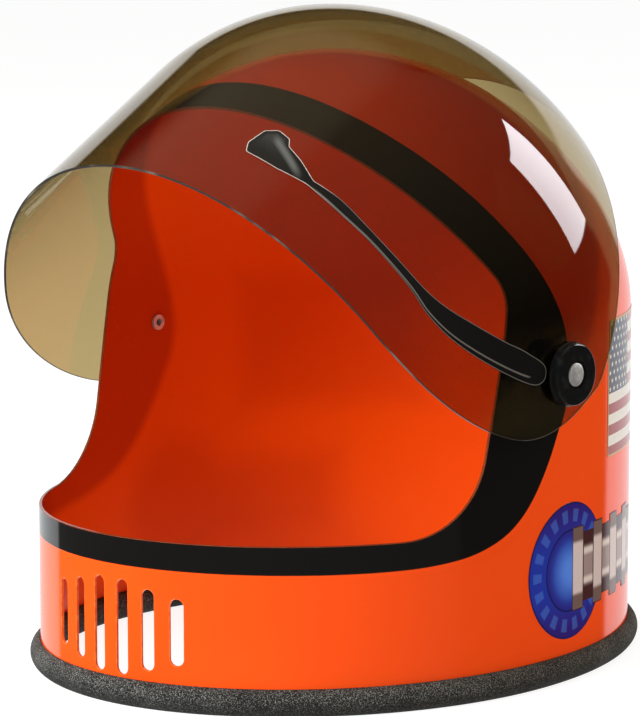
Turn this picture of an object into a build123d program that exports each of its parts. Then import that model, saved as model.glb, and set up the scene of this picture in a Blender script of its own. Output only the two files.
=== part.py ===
"""A child's astronaut play helmet with a raised see-through visor.

The helmet stands on the plane Z = 0 and faces -Y, with its wearer's left
side towards +X and its origin under the middle of the shell. Setbacks are
measured from the shell's widest line, which lies a little in front of the
middle. The visor is drawn closed and then turned up about its pivot line,
which is the pose that it is shown in. All sizes are in millimetres and all
angles in degrees.
"""

import os
from math import cos, radians, sin, sqrt, tan

from build123d import *

os.makedirs("parts", exist_ok=True)

# Shell: an oval, formed plastic sheet with upright walls and a domed crown
shell_half_width = 120.0
shell_front_depth = 140.0
shell_back_depth = 154.0
shell_wall = 1.4
shell_spring_height = 152.0
shell_dome_rise = 118.7
shell_crown_share = 0.496

# Foam edge trim: a soft round tube pushed onto the lower edge of the shell
foam_radius = 6.3
foam_proud = 4.7
foam_flat = 0.5
foam_grip = 7.2
foam_joint_gap = 0.6
foam_groove_clearance = 0.1

# Face opening, seen from the side, with its lower corner in front of the widest line
opening_rim_height = 72.3
opening_side_advance = 38.4
opening_side_lean = 10.9
opening_brow_rise = 22.5
opening_brow_slope = 37.1
opening_lower_radius = 40.0
opening_brow_radius = 18.0

# Vent slots through the front wall, from the middle pair outwards
vent_pitch = 13.45
vent_width = 6.9
vent_middle_length = 41.0
vent_shortening = 6.2
vent_middle_foot = 13.0
vent_foot_step = 3.3
vent_pairs = 3

# Pivot line of the visor
pivot_setback = 10.0
pivot_drop = 15.0
visor_raise = 58.8

# Visor: a larger, thinner domed sheet, with sizes for its closed place
visor_wall = 1.2
visor_side_gap = 6.0
visor_front_gap = 1.9
visor_crown_gap = 9.5
visor_swing_gap = 4.0
visor_spring_drop = 2.6
visor_crown_share = 0.532
visor_axis_setback = 8.3
visor_lip_overlap = 11.9
visor_lip_radius_share = 1.493
visor_lip_turn = 44.7
visor_lobe_reach = 18.9
visor_lobe_radius_share = 0.749
visor_lobe_rise = 15.9
visor_lobe_corner = 12.0
visor_rear_slope = 31.4
visor_pad_radius = 20.0
visor_pad_step = 0.5

# Pivot stack on each side: spacer, washer, knob and a tubular rivet
running_clearance = 0.08
face_clearance = 0.1
spacer_radius = 8.0
washer_radius = 14.0
washer_thickness = 1.5
washer_edge = 0.5
knob_radius = 13.4
knob_thickness = 3.1
knob_edge = 1.1
knob_recess_radius = 6.2
knob_recess_depth = 0.9
rivet_shank_radius = 2.5
rivet_bore_radius = 1.7
rivet_head_radius = 5.0
rivet_head_rim = 0.5
rivet_head_dome = 0.8
rivet_flare_radius = 3.6
rivet_flare_thickness = 0.9

# Decals: a microphone on the visor, and a hose and a patch on each side of the shell
decal_thickness = 0.2
decal_lift = 0.2
mic_view_angle = 50.0
mic_length = 157.8
mic_fall = 40.2
mic_end_reach = 75.6
mic_end_drop = 9.9
mic_head_corner = 1.5
mic_head_corners = 6
collar_setback = 23.0
collar_foot_gap = 6.5
collar_radius = 30.0
hose_front_setback = 25.0
hose_neck_width = 31.0
hose_rib_width = 37.0
hose_rib_length = 8.0
hose_rib_pitch = 13.6
hose_ribs = 6
patch_front_setback = 58.5
patch_foot_height = 92.6
patch_length = 74.0
patch_height = 61.0
patch_corner = 1.0

# One overrun for every cut
overrun = 10.0

# Places worked out from the sizes above
widest_y = (shell_front_depth - shell_back_depth) / 2
crown_height = shell_spring_height + shell_dome_rise
foam_centre_height = foam_radius - foam_flat
foam_inset = foam_radius - foam_proud
foam_top_height = foam_centre_height + sqrt(foam_radius**2 - foam_inset**2)
shell_foot_height = foam_top_height - foam_grip
opening_brow_height = shell_spring_height + opening_brow_rise
collar_height = foam_top_height + collar_foot_gap + collar_radius
pivot_height = shell_spring_height - pivot_drop
pivot_y = widest_y + pivot_setback
pivot_axis = Axis((0, pivot_y, pivot_height), (1, 0, 0))

# The visor's depth clears the shell's front when it is closed and its crown as it swings over
visor_closed_depth = shell_front_depth + visor_front_gap + visor_axis_setback
crown_reach = sqrt(pivot_setback**2 + (crown_height - pivot_height) ** 2)
visor_swing_depth = crown_reach + visor_swing_gap + visor_axis_setback - pivot_setback
visor_depth = max(visor_closed_depth, visor_swing_depth) + visor_wall
visor_half_width = shell_half_width + visor_side_gap + visor_wall
visor_spring_height = shell_spring_height - visor_spring_drop
visor_dome_rise = crown_height + visor_crown_gap + visor_wall - visor_spring_height
visor_lip_height = opening_rim_height - visor_lip_overlap
visor_drop = pivot_height - visor_lip_height
visor_lip_radius = visor_lip_radius_share * visor_drop
visor_lobe_radius = visor_lobe_radius_share * visor_drop
pad_outer_x = visor_half_width
pad_inner_x = pad_outer_x - visor_wall - visor_pad_step
spacer_outer_x = pad_inner_x - face_clearance
washer_inner_x = pad_outer_x + face_clearance
knob_inner_x = washer_inner_x + washer_thickness
knob_outer_x = knob_inner_x + knob_thickness
rivet_seat_x = knob_outer_x - knob_recess_depth
rivet_hole_radius = rivet_shank_radius + running_clearance

# Outline of the microphone, as shares of its length from the rear end of
# the boom and of its fall from there
boom_top_shares = [
    (0.044, 0.032),
    (0.148, 0.366),
    (0.237, 0.585),
    (0.317, 0.744),
    (0.385, 0.816),
    (0.526, 0.826),
    (0.616, 0.808),
    (0.715, 0.774),
    (0.798, 0.794),
]
head_shares = [
    (0.798, 0.794),
    (0.861, 0.667),
    (0.909, 0.597),
    (0.923, 0.505),
    (0.961, 0.47),
    (0.99, 0.562),
    (1.0, 0.799),
    (0.986, 0.925),
    (0.893, 0.93),
    (0.805, 0.886),
]
boom_foot_shares = [
    (0.805, 0.886),
    (0.675, 0.925),
    (0.592, 0.93),
    (0.515, 0.945),
    (0.42, 0.965),
    (0.344, 1.0),
    (0.267, 0.958),
    (0.18, 0.811),
    (0.081, 0.55),
    (0.017, 0.318),
]
boom_end_share = (-0.002, 0.13)


def domed_form(half_width, front_depth, back_depth, foot_height, spring_height, rise, crown_share):
    """Closed domed solid with an oval plan that may be deeper at the back."""
    crown = spring_height + rise
    with BuildPart() as round_form:
        with BuildSketch(Plane.XZ):
            with BuildLine():
                Line((half_width, foot_height), (half_width, spring_height))
                Bezier(
                    (half_width, spring_height),
                    (half_width, spring_height + crown_share * rise),
                    (crown_share * half_width, crown),
                    (0, crown),
                )
                Polyline((0, crown), (0, foot_height), (half_width, foot_height))
            make_face()
        revolve(axis=Axis.Z)
    with BuildPart() as front_half:
        add(round_form.part)
        split(bisect_by=Plane.XZ, keep=Keep.TOP)
        scale(by=(1, front_depth / half_width, 1))
    with BuildPart() as form:
        add(round_form.part)
        split(bisect_by=Plane.XZ, keep=Keep.BOTTOM)
        scale(by=(1, back_depth / half_width, 1))
        add(front_half.part)
    return form.part


def shell_form(grow=0.0):
    """Solid inside the shell's outer face, grown outwards by a length."""
    form = domed_form(
        shell_half_width + grow,
        shell_front_depth + grow,
        shell_back_depth + grow,
        shell_foot_height,
        shell_spring_height,
        shell_dome_rise + grow,
        shell_crown_share,
    )
    return form.moved(Location((0, widest_y, 0)))


def visor_form(grow=0.0):
    """Solid inside the closed visor's outer face, grown outwards by a length."""
    form = domed_form(
        visor_half_width + grow,
        visor_depth + grow,
        visor_depth + grow,
        visor_lip_height,
        visor_spring_height,
        visor_dome_rise + grow,
        visor_crown_share,
    )
    return form.moved(Location((0, widest_y + visor_axis_setback, 0)))


def oval_sketch(inset):
    """Face of the shell's plan, drawn inwards by a length."""
    with BuildSketch() as oval:
        with BuildLine():
            EllipticalCenterArc(
                (0, widest_y),
                shell_half_width - inset,
                shell_front_depth - inset,
                start_angle=180,
                arc_size=180,
            )
            EllipticalCenterArc(
                (0, widest_y),
                shell_half_width - inset,
                shell_back_depth - inset,
                start_angle=0,
                arc_size=180,
            )
        make_face()
    return oval.sketch


def side_plane(x):
    """Plane square to X at the widest line, its own X backwards and its Y upwards."""
    return Plane(origin=(x, widest_y, 0), x_dir=(0, 1, 0), z_dir=(1, 0, 0))


def pivot_plane(x, side):
    """Plane square to the pivot line, facing outwards on one side."""
    return Plane(origin=(side * x, pivot_y, pivot_height), x_dir=(0, side, 0), z_dir=(side, 0, 0))


def turn_up(closed_part):
    """The part turned from its closed place to the raised place."""
    return closed_part.rotate(pivot_axis, -visor_raise)


def mic_point(share):
    """Point of the microphone's outline on its oblique plane."""
    along, down = share
    return (mic_end_reach - along * mic_length, -mic_end_drop - down * mic_fall)


# Shell
shell_outer = shell_form()
opening_lean_run = (opening_brow_height - opening_rim_height) * tan(radians(opening_side_lean))
opening_brow_advance = opening_side_advance - opening_lean_run
opening_top = crown_height + overrun
opening_front = -(shell_front_depth + overrun)
opening_brow_run = (opening_top - opening_brow_height) * tan(radians(opening_brow_slope))
opening_top_back = -opening_brow_advance - opening_brow_run
front_plane = Plane(origin=(0, widest_y, 0), x_dir=(1, 0, 0), z_dir=(0, -1, 0))

with BuildPart() as shell:
    add(shell_outer)
    add(shell_form(-shell_wall), mode=Mode.SUBTRACT)
    with BuildSketch(side_plane(0)):
        with BuildLine():
            FilletPolyline(
                (opening_front, opening_rim_height),
                (-opening_side_advance, opening_rim_height),
                (-opening_brow_advance, opening_brow_height),
                (opening_top_back, opening_top),
                radius=[opening_lower_radius, opening_brow_radius],
            )
            Polyline(
                (opening_top_back, opening_top),
                (opening_front, opening_top),
                (opening_front, opening_rim_height),
            )
        make_face()
    extrude(amount=shell_half_width + overrun, both=True, mode=Mode.SUBTRACT)
    with BuildSketch(front_plane):
        for pair in range(vent_pairs):
            length = vent_middle_length - pair * vent_shortening
            middle = vent_middle_foot + pair * vent_foot_step + length / 2
            offset_x = (pair + 1 / 2) * vent_pitch
            with Locations((-offset_x, middle), (offset_x, middle)):
                SlotOverall(length, vent_width, rotation=90)
    extrude(amount=shell_front_depth + overrun, mode=Mode.SUBTRACT)
    for side in (-1, 1):
        with BuildSketch(pivot_plane(0, side)):
            Circle(rivet_hole_radius)
        extrude(amount=shell_half_width + overrun, mode=Mode.SUBTRACT)
shell.part.label = "shell"
export_step(shell.part, "parts/shell.step")

# Foam edge trim, with a groove for the shell and a butt joint at the back
foam_path_half_width = shell_half_width - foam_inset
with BuildPart() as foam_trim:
    with BuildLine(Plane.XY.offset(foam_centre_height)) as foam_path:
        EllipticalCenterArc(
            (0, widest_y),
            foam_path_half_width,
            shell_front_depth - foam_inset,
            start_angle=180,
            arc_size=180,
        )
        EllipticalCenterArc(
            (0, widest_y),
            foam_path_half_width,
            shell_back_depth - foam_inset,
            start_angle=0,
            arc_size=180,
        )
    foam_start = (-foam_path_half_width, widest_y, foam_centre_height)
    with BuildSketch(Plane(origin=foam_start, z_dir=(0, -1, 0))):
        Circle(foam_radius)
    sweep(path=foam_path.wire())
    split(bisect_by=Plane.XY, keep=Keep.TOP)
    with BuildSketch(Plane.XY.offset(shell_foot_height)):
        add(oval_sketch(-foam_groove_clearance))
        add(oval_sketch(shell_wall + foam_groove_clearance), mode=Mode.SUBTRACT)
    extrude(amount=foam_radius * 2, mode=Mode.SUBTRACT)
    with BuildSketch(Plane.XY):
        Rectangle(foam_joint_gap, shell_back_depth + overrun, align=(Align.CENTER, Align.MIN))
    extrude(amount=foam_radius * 2, mode=Mode.SUBTRACT)
foam_trim.part.label = "foam_trim"
export_step(foam_trim.part, "parts/foam_trim.step")

# Visor, drawn closed: the wall, flat pads at the pivots and the side outline
visor_outer = visor_form()
lobe_rear = pivot_setback + visor_lobe_reach
lobe_corner_height = pivot_height + visor_lobe_rise
visor_top = crown_height + visor_crown_gap + overrun
visor_front = visor_axis_setback - visor_depth - overrun
visor_top_back = lobe_rear - (visor_top - lobe_corner_height) * tan(radians(visor_rear_slope))
lip_turn_sine = sin(radians(visor_lip_turn))
lip_start = lobe_rear - visor_lip_radius * lip_turn_sine - visor_lobe_radius * (1 - lip_turn_sine)

with BuildPart() as closed_visor:
    add(visor_outer)
    add(visor_form(-visor_wall), mode=Mode.SUBTRACT)
    for side in (-1, 1):
        with BuildSketch(pivot_plane(pad_inner_x, side)):
            Circle(visor_pad_radius)
        extrude(amount=pad_outer_x - pad_inner_x)
    with BuildSketch(side_plane(0)):
        with BuildLine():
            lip_arc = JernArc((lip_start, visor_lip_height), (1, 0), visor_lip_radius, visor_lip_turn)
            lobe_arc = JernArc(lip_arc @ 1, lip_arc % 1, visor_lobe_radius, 90 - visor_lip_turn)
            FilletPolyline(
                lobe_arc @ 1,
                (lobe_rear, lobe_corner_height),
                (visor_top_back, visor_top),
                radius=visor_lobe_corner,
            )
            Polyline(
                (visor_top_back, visor_top),
                (visor_front, visor_top),
                (visor_front, visor_lip_height),
                (lip_start, visor_lip_height),
            )
        make_face()
    extrude(amount=visor_half_width + overrun, both=True, mode=Mode.INTERSECT)
    for side in (-1, 1):
        with BuildSketch(pivot_plane(0, side)):
            Circle(rivet_hole_radius)
        extrude(amount=visor_half_width + overrun, mode=Mode.SUBTRACT)

with BuildPart() as visor:
    add(turn_up(closed_visor.part))
visor.part.label = "visor"
export_step(visor.part, "parts/visor.step")

# Microphone decal, cut along an oblique view so that it follows the visor
mic_plane = Plane(
    origin=(0, pivot_y, pivot_height),
    x_dir=(cos(radians(mic_view_angle)), sin(radians(mic_view_angle)), 0),
    z_dir=(sin(radians(mic_view_angle)), -cos(radians(mic_view_angle)), 0),
)
with BuildPart() as closed_mic:
    with BuildSketch(mic_plane) as mic_sketch:
        with BuildLine():
            boom_top = Spline(*[mic_point(share) for share in boom_top_shares])
            Polyline(*[mic_point(share) for share in head_shares])
            boom_foot = Spline(*[mic_point(share) for share in boom_foot_shares])
            ThreePointArc(boom_foot @ 1, mic_point(boom_end_share), boom_top @ 0)
        make_face()
        fillet(mic_sketch.vertices().sort_by(Axis.X)[:mic_head_corners], mic_head_corner)
    extrude(amount=visor_half_width + visor_depth)
    add(visor_form(decal_lift + decal_thickness), mode=Mode.INTERSECT)
    add(visor_form(decal_lift), mode=Mode.SUBTRACT)
    add(closed_visor.part, mode=Mode.SUBTRACT)
    with BuildSketch(pivot_plane(0, 1)):
        Circle(washer_radius + face_clearance)
    extrude(amount=visor_half_width + overrun, mode=Mode.SUBTRACT)

with BuildPart() as microphone_decal:
    add(turn_up(closed_mic.part))
microphone_decal.part.label = "microphone_decal"
export_step(microphone_decal.part, "parts/microphone_decal.step")

# Decals on the sides of the shell
decal_outer_form = shell_form(decal_lift + decal_thickness)
decal_inner_form = shell_form(decal_lift)
hose_length = (hose_ribs - 1) * hose_rib_pitch + hose_rib_length
for side, side_name in ((1, "left"), (-1, "right")):
    with BuildPart() as hose_decal:
        with BuildSketch(side_plane(0)):
            with Locations((collar_setback, collar_height)):
                Circle(collar_radius)
            with Locations((hose_front_setback + hose_length / 2, collar_height)):
                Rectangle(hose_length, hose_neck_width)
                with GridLocations(hose_rib_pitch, hose_rib_width, hose_ribs, 1):
                    Rectangle(hose_rib_length, hose_rib_width)
        extrude(amount=side * (shell_half_width + overrun))
        add(decal_outer_form, mode=Mode.INTERSECT)
        add(decal_inner_form, mode=Mode.SUBTRACT)
    hose_decal.part.label = f"hose_decal_{side_name}"
    export_step(hose_decal.part, f"parts/hose_decal_{side_name}.step")

    with BuildPart() as patch_decal:
        with BuildSketch(side_plane(0)):
            with Locations((patch_front_setback, patch_foot_height)):
                RectangleRounded(patch_length, patch_height, patch_corner, align=(Align.MIN, Align.MIN))
        extrude(amount=side * (shell_half_width + overrun))
        add(decal_outer_form, mode=Mode.INTERSECT)
        add(decal_inner_form, mode=Mode.SUBTRACT)
    patch_decal.part.label = f"patch_decal_{side_name}"
    export_step(patch_decal.part, f"parts/patch_decal_{side_name}.step")

# Pivot stacks
flare_depth_share = (pivot_setback + rivet_flare_radius) / (shell_back_depth - shell_wall)
flare_outer_x = (shell_half_width - shell_wall) * sqrt(1 - flare_depth_share**2)
flare_inner_x = flare_outer_x - rivet_flare_thickness
for side, side_name in ((1, "left"), (-1, "right")):
    with BuildPart() as spacer:
        with BuildSketch(pivot_plane(0, side)):
            Circle(spacer_radius)
            Circle(rivet_hole_radius, mode=Mode.SUBTRACT)
        extrude(amount=spacer_outer_x)
        add(shell_outer, mode=Mode.SUBTRACT)
    spacer.part.label = f"pivot_spacer_{side_name}"
    export_step(spacer.part, f"parts/pivot_spacer_{side_name}.step")

    with BuildPart() as washer:
        with BuildSketch(pivot_plane(washer_inner_x, side)):
            Circle(washer_radius)
            Circle(rivet_hole_radius, mode=Mode.SUBTRACT)
        extrude(amount=washer_thickness)
        chamfer(washer.edges().group_by(SortBy.LENGTH)[-1], washer_edge)
    washer.part.label = f"pivot_washer_{side_name}"
    export_step(washer.part, f"parts/pivot_washer_{side_name}.step")

    with BuildPart() as knob:
        with BuildSketch(pivot_plane(knob_inner_x, side)):
            Circle(knob_radius)
        extrude(amount=knob_thickness)
        outer_rim = knob.faces().sort_by(Axis.X)[-1 if side > 0 else 0].edges()
        fillet(outer_rim, knob_edge)
        with BuildSketch(pivot_plane(rivet_seat_x, side)):
            Circle(knob_recess_radius)
        extrude(amount=knob_recess_depth + overrun, mode=Mode.SUBTRACT)
        with BuildSketch(pivot_plane(0, side)):
            Circle(rivet_hole_radius)
        extrude(amount=knob_outer_x + overrun, mode=Mode.SUBTRACT)
    knob.part.label = f"pivot_knob_{side_name}"
    export_step(knob.part, f"parts/pivot_knob_{side_name}.step")

    with BuildPart() as rivet:
        with BuildSketch(Plane(origin=(0, pivot_y, pivot_height), x_dir=(side, 0, 0), z_dir=(0, -side, 0))):
            with BuildLine():
                Polyline(
                    (flare_inner_x, rivet_bore_radius),
                    (flare_inner_x, rivet_flare_radius),
                    (flare_outer_x, rivet_flare_radius),
                    (flare_outer_x, rivet_shank_radius),
                    (rivet_seat_x, rivet_shank_radius),
                    (rivet_seat_x, rivet_head_radius),
                    (rivet_seat_x + rivet_head_rim, rivet_head_radius),
                )
                head_crown_x = rivet_seat_x + rivet_head_rim + rivet_head_dome
                dome_radius = (rivet_head_radius**2 + rivet_head_dome**2) / (2 * rivet_head_dome)
                RadiusArc(
                    (rivet_seat_x + rivet_head_rim, rivet_head_radius),
                    (head_crown_x, 0),
                    dome_radius,
                )
                Polyline(
                    (head_crown_x, 0),
                    (rivet_seat_x, 0),
                    (rivet_seat_x, rivet_bore_radius),
                    (flare_inner_x, rivet_bore_radius),
                )
            make_face()
        revolve(axis=pivot_axis)
    rivet.part.label = f"pivot_rivet_{side_name}"
    export_step(rivet.part, f"parts/pivot_rivet_{side_name}.step")
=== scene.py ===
"""Dressed scene of a child's astronaut play helmet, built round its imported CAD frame.

Sizes in the classes are millimetres, in the frame of the CAD source: +Z up,
-Y the way the face looks, +X the wearer's left. They are turned to metres
where a mesh is made.
"""

import logging
import math
from collections.abc import Callable
from dataclasses import dataclass, field, replace
from enum import Enum

import bpy
import numpy as np
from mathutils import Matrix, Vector


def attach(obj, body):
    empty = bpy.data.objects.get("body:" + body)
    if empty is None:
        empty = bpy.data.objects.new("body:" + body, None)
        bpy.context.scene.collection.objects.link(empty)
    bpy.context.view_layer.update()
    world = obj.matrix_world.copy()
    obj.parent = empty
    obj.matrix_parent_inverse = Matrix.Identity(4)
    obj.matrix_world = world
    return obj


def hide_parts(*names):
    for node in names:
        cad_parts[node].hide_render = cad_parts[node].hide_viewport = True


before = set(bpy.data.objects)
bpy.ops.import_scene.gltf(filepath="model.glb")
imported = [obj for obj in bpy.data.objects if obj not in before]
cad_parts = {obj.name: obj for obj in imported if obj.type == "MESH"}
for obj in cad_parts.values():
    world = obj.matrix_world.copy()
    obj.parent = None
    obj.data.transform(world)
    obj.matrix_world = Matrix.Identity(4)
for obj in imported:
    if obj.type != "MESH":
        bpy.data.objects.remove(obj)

LOG = logging.getLogger("helmet")
MM = 0.001

Points = np.ndarray
Triple = tuple[float, float, float]
Colour = Triple
Run = tuple[float, float]
Runs = tuple[Triple, ...]
Distance = Callable[[Points], np.ndarray]
Socket = bpy.types.NodeSocket

WIDEST_Y = -7.0
PIVOT_Y = 3.0
PIVOT_Z = 137.0
VISOR_RAISE = 58.8
SHELL_WALL = 1.4
VISOR_WALL = 1.2
OUT_OF_REACH = -50.0


class Side(Enum):
    """Side of the helmet, with its sign along X."""

    LEFT = 1
    RIGHT = -1

    @property
    def word(self) -> str:
        """Name of the side, as the CAD nodes have it."""
        return self.name.lower()


class Body(Enum):
    """Moving body that a piece rides on."""

    HELMET = "helmet"
    VISOR = "visor"


# ---------------------------------------------------------------- outlines


def turn_up(points: Points) -> Points:
    """Turn points of the closed visor to the raised place.

    Args:
        points: Places in millimetres, one a row.

    Returns:
        The turned places.
    """
    angle = math.radians(-VISOR_RAISE)
    y, z = points[..., 1] - PIVOT_Y, points[..., 2] - PIVOT_Z
    turned = np.array(points, float)
    turned[..., 1] = PIVOT_Y + y * math.cos(angle) - z * math.sin(angle)
    turned[..., 2] = PIVOT_Z + y * math.sin(angle) + z * math.cos(angle)
    return turned


def rounded_path(corners: list[tuple[float, float]], radii: dict[int, float], steps: int = 24) -> Points:
    """Open path of straight runs with arcs at some corners.

    Args:
        corners: Corner points of the path.
        radii: Arc radius for each rounded corner's index.
        steps: Straight steps in each arc.

    Returns:
        The path's points, one a row.
    """
    pts = [np.array(c, float) for c in corners]
    path = [pts[0]]
    for i in range(1, len(pts) - 1):
        if i not in radii:
            path.append(pts[i])
            continue
        back = pts[i - 1] - pts[i]
        ahead = pts[i + 1] - pts[i]
        back /= np.linalg.norm(back)
        ahead /= np.linalg.norm(ahead)
        half = math.acos(float(np.clip(back @ ahead, -1, 1))) / 2
        reach = radii[i] / math.tan(half)
        middle = back + ahead
        middle *= radii[i] / math.sin(half) / np.linalg.norm(middle)
        centre = pts[i] + middle
        start = pts[i] + back * reach - centre
        end = pts[i] + ahead * reach - centre
        first = math.atan2(start[1], start[0])
        sweep = (math.atan2(end[1], end[0]) - first + math.pi) % (2 * math.pi) - math.pi
        for k in range(steps + 1):
            angle = first + sweep * k / steps
            path.append(centre + radii[i] * np.array((math.cos(angle), math.sin(angle))))
    path.append(pts[-1])
    return np.array(path)


def smooth_path(points: list[tuple[float, float]], steps: int = 12) -> Points:
    """Smooth path through points, by Catmull-Rom pieces.

    Args:
        points: Points that the path goes through.
        steps: Straight steps between two points.

    Returns:
        The path's points, one a row.
    """
    given = np.array(points, float)
    padded = np.vstack((2 * given[0] - given[1], given, 2 * given[-1] - given[-2]))
    path = []
    for i in range(1, len(padded) - 2):
        p0, p1, p2, p3 = padded[i - 1 : i + 3]
        spans = ((p0, p1), (p1, p2), (p2, p3))
        knots = np.cumsum([0, *(max(np.linalg.norm(b - a), 1e-6) ** 0.5 for a, b in spans)])
        for k in range(steps):
            t = knots[1] + (knots[2] - knots[1]) * k / steps
            a1 = p0 + (p1 - p0) * (t - knots[0]) / (knots[1] - knots[0])
            a2 = p1 + (p2 - p1) * (t - knots[1]) / (knots[2] - knots[1])
            a3 = p2 + (p3 - p2) * (t - knots[2]) / (knots[3] - knots[2])
            b1 = a1 + (a2 - a1) * (t - knots[0]) / (knots[2] - knots[0])
            b2 = a2 + (a3 - a2) * (t - knots[1]) / (knots[3] - knots[1])
            path.append(b1 + (b2 - b1) * (t - knots[1]) / (knots[2] - knots[1]))
    path.append(given[-1])
    return np.array(path)


def outline_distance(flat: Points, outline: Points) -> np.ndarray:
    """Signed distance of points to a closed outline, positive inside.

    Args:
        flat: Points in the outline's plane, one a row.
        outline: Corner points of the outline, in order.

    Returns:
        One distance a point.
    """
    nearest = np.full(len(flat), np.inf)
    inside = np.zeros(len(flat), bool)
    x, y = flat[:, 0], flat[:, 1]
    for (ax, ay), (bx, by) in zip(outline, np.roll(outline, -1, axis=0), strict=True):
        dx, dy = bx - ax, by - ay
        span = dx * dx + dy * dy
        if span < 1e-12:
            continue
        share = np.clip(((x - ax) * dx + (y - ay) * dy) / span, 0, 1)
        nearest = np.minimum(nearest, (x - ax - share * dx) ** 2 + (y - ay - share * dy) ** 2)
        crosses = (ay > y) != (by > y)
        if dy:
            inside ^= crosses & (x < ax + (y - ay) * dx / dy)
    return np.where(inside, 1.0, -1.0) * np.sqrt(nearest)


def off_pivot(places: Points, radius: float) -> np.ndarray:
    """Distance of places outside a round hole on the pivot line, negative in it."""
    return np.hypot(places[:, 1] - PIVOT_Y, places[:, 2] - PIVOT_Z) - radius


@dataclass(frozen=True)
class FaceOpening:
    """Face opening of the shell, cut square from the side."""

    rim: float = 72.3
    side_advance: float = 38.4
    side_lean: float = 10.9
    brow_height: float = 174.5
    brow_slope: float = 37.1
    lower_radius: float = 40.0
    brow_radius: float = 18.0
    top: float = 290.0
    front: float = -170.0

    def outline(self) -> Points:
        """Closed outline of the opening.

        Returns:
            Its points, as Y and Z.
        """
        brow_y = -self.side_advance + (self.brow_height - self.rim) * math.tan(math.radians(self.side_lean))
        top_y = brow_y - (self.top - self.brow_height) * math.tan(math.radians(self.brow_slope))
        path = rounded_path(
            [
                (self.front, self.rim),
                (-self.side_advance + WIDEST_Y, self.rim),
                (brow_y + WIDEST_Y, self.brow_height),
                (top_y + WIDEST_Y, self.top),
            ],
            {1: self.lower_radius, 2: self.brow_radius},
        )
        return np.vstack((path, [(self.front, self.top)]))


@dataclass(frozen=True)
class VentRow:
    """Upright slots through the front wall."""

    pitch: float = 13.45
    width: float = 6.0
    middle_length: float = 41.0
    shortening: float = 6.2
    middle_foot: float = 13.0
    foot_step: float = 3.3
    pairs: int = 3
    out_of_reach: float = 1e3

    def distance(self, places: Points) -> np.ndarray:
        """Distance of places outside the slots, negative in them.

        Args:
            places: Places in millimetres, one a row.

        Returns:
            One distance a place.
        """
        least = np.full(len(places), self.out_of_reach)
        for pair in range(self.pairs):
            length = self.middle_length - pair * self.shortening
            foot = self.middle_foot + pair * self.foot_step + self.width / 2
            top = foot + length - self.width
            across = np.abs(places[:, 0]) - (pair + 0.5) * self.pitch
            beyond = places[:, 2] - np.clip(places[:, 2], foot, top)
            least = np.minimum(least, np.hypot(across, beyond) - self.width / 2)
        return np.where(places[:, 1] < WIDEST_Y, least, self.out_of_reach)


@dataclass(frozen=True)
class VisorOutline:
    """Side outline of the closed visor."""

    lip: float = 60.4
    lip_radius_share: float = 1.493
    lip_turn: float = 44.7
    lobe_radius_share: float = 0.749
    lobe_rear: float = 28.9
    lobe_corner_height: float = 152.9
    lobe_corner: float = 12.0
    rear_slope: float = 31.4
    top: float = 300.0
    front: float = -170.0
    arc_steps: int = 40

    def outline(self) -> Points:
        """Closed outline of the visor.

        Returns:
            Its points, as Y and Z.
        """
        drop = PIVOT_Z - self.lip
        lip_radius = self.lip_radius_share * drop
        lobe_radius = self.lobe_radius_share * drop
        turn = math.radians(self.lip_turn)
        start = self.lobe_rear - lip_radius * math.sin(turn) - lobe_radius * (1 - math.sin(turn))
        path = [(self.front, self.lip)]
        for k in range(self.arc_steps + 1):
            a = turn * k / self.arc_steps
            path.append((start + lip_radius * math.sin(a), self.lip + lip_radius * (1 - math.cos(a))))
        join_y, join_z = path[-1]
        for k in range(1, self.arc_steps + 1):
            a = turn + (math.pi / 2 - turn) * k / self.arc_steps
            path.append(
                (
                    join_y + lobe_radius * (math.sin(a) - math.sin(turn)),
                    join_z + lobe_radius * (math.cos(turn) - math.cos(a)),
                )
            )
        rear = math.tan(math.radians(self.rear_slope))
        top_y = self.lobe_rear - (self.top - self.lobe_corner_height) * rear
        corner = rounded_path(
            [path[-1], (self.lobe_rear, self.lobe_corner_height), (top_y, self.top)],
            {1: self.lobe_corner},
        )
        path = np.vstack((path[:-1], corner, [(self.front, self.top)]))
        return path + (WIDEST_Y, 0)


BAND_EDGE = [
    (-170, 60.3), (-78, 60.3), (-60.6, 61.4), (-46.6, 63.4), (-36.2, 66.4),
    (-27.2, 70.3), (-19.0, 75.9), (-11.9, 82.8), (-5.4, 91.2), (1.1, 101.4),
    (6.3, 111.2), (10.2, 119), (13.2, 130), (12.6, 143), (9.5, 156.1),
    (4.5, 167.4), (-5.2, 183.6), (-17, 199.8), (-33.2, 220.8), (-53.3, 245.5),
    (-60.5, 254.5), (-74, 271),
]
BAND_CORNER = (-170, 290)


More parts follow.
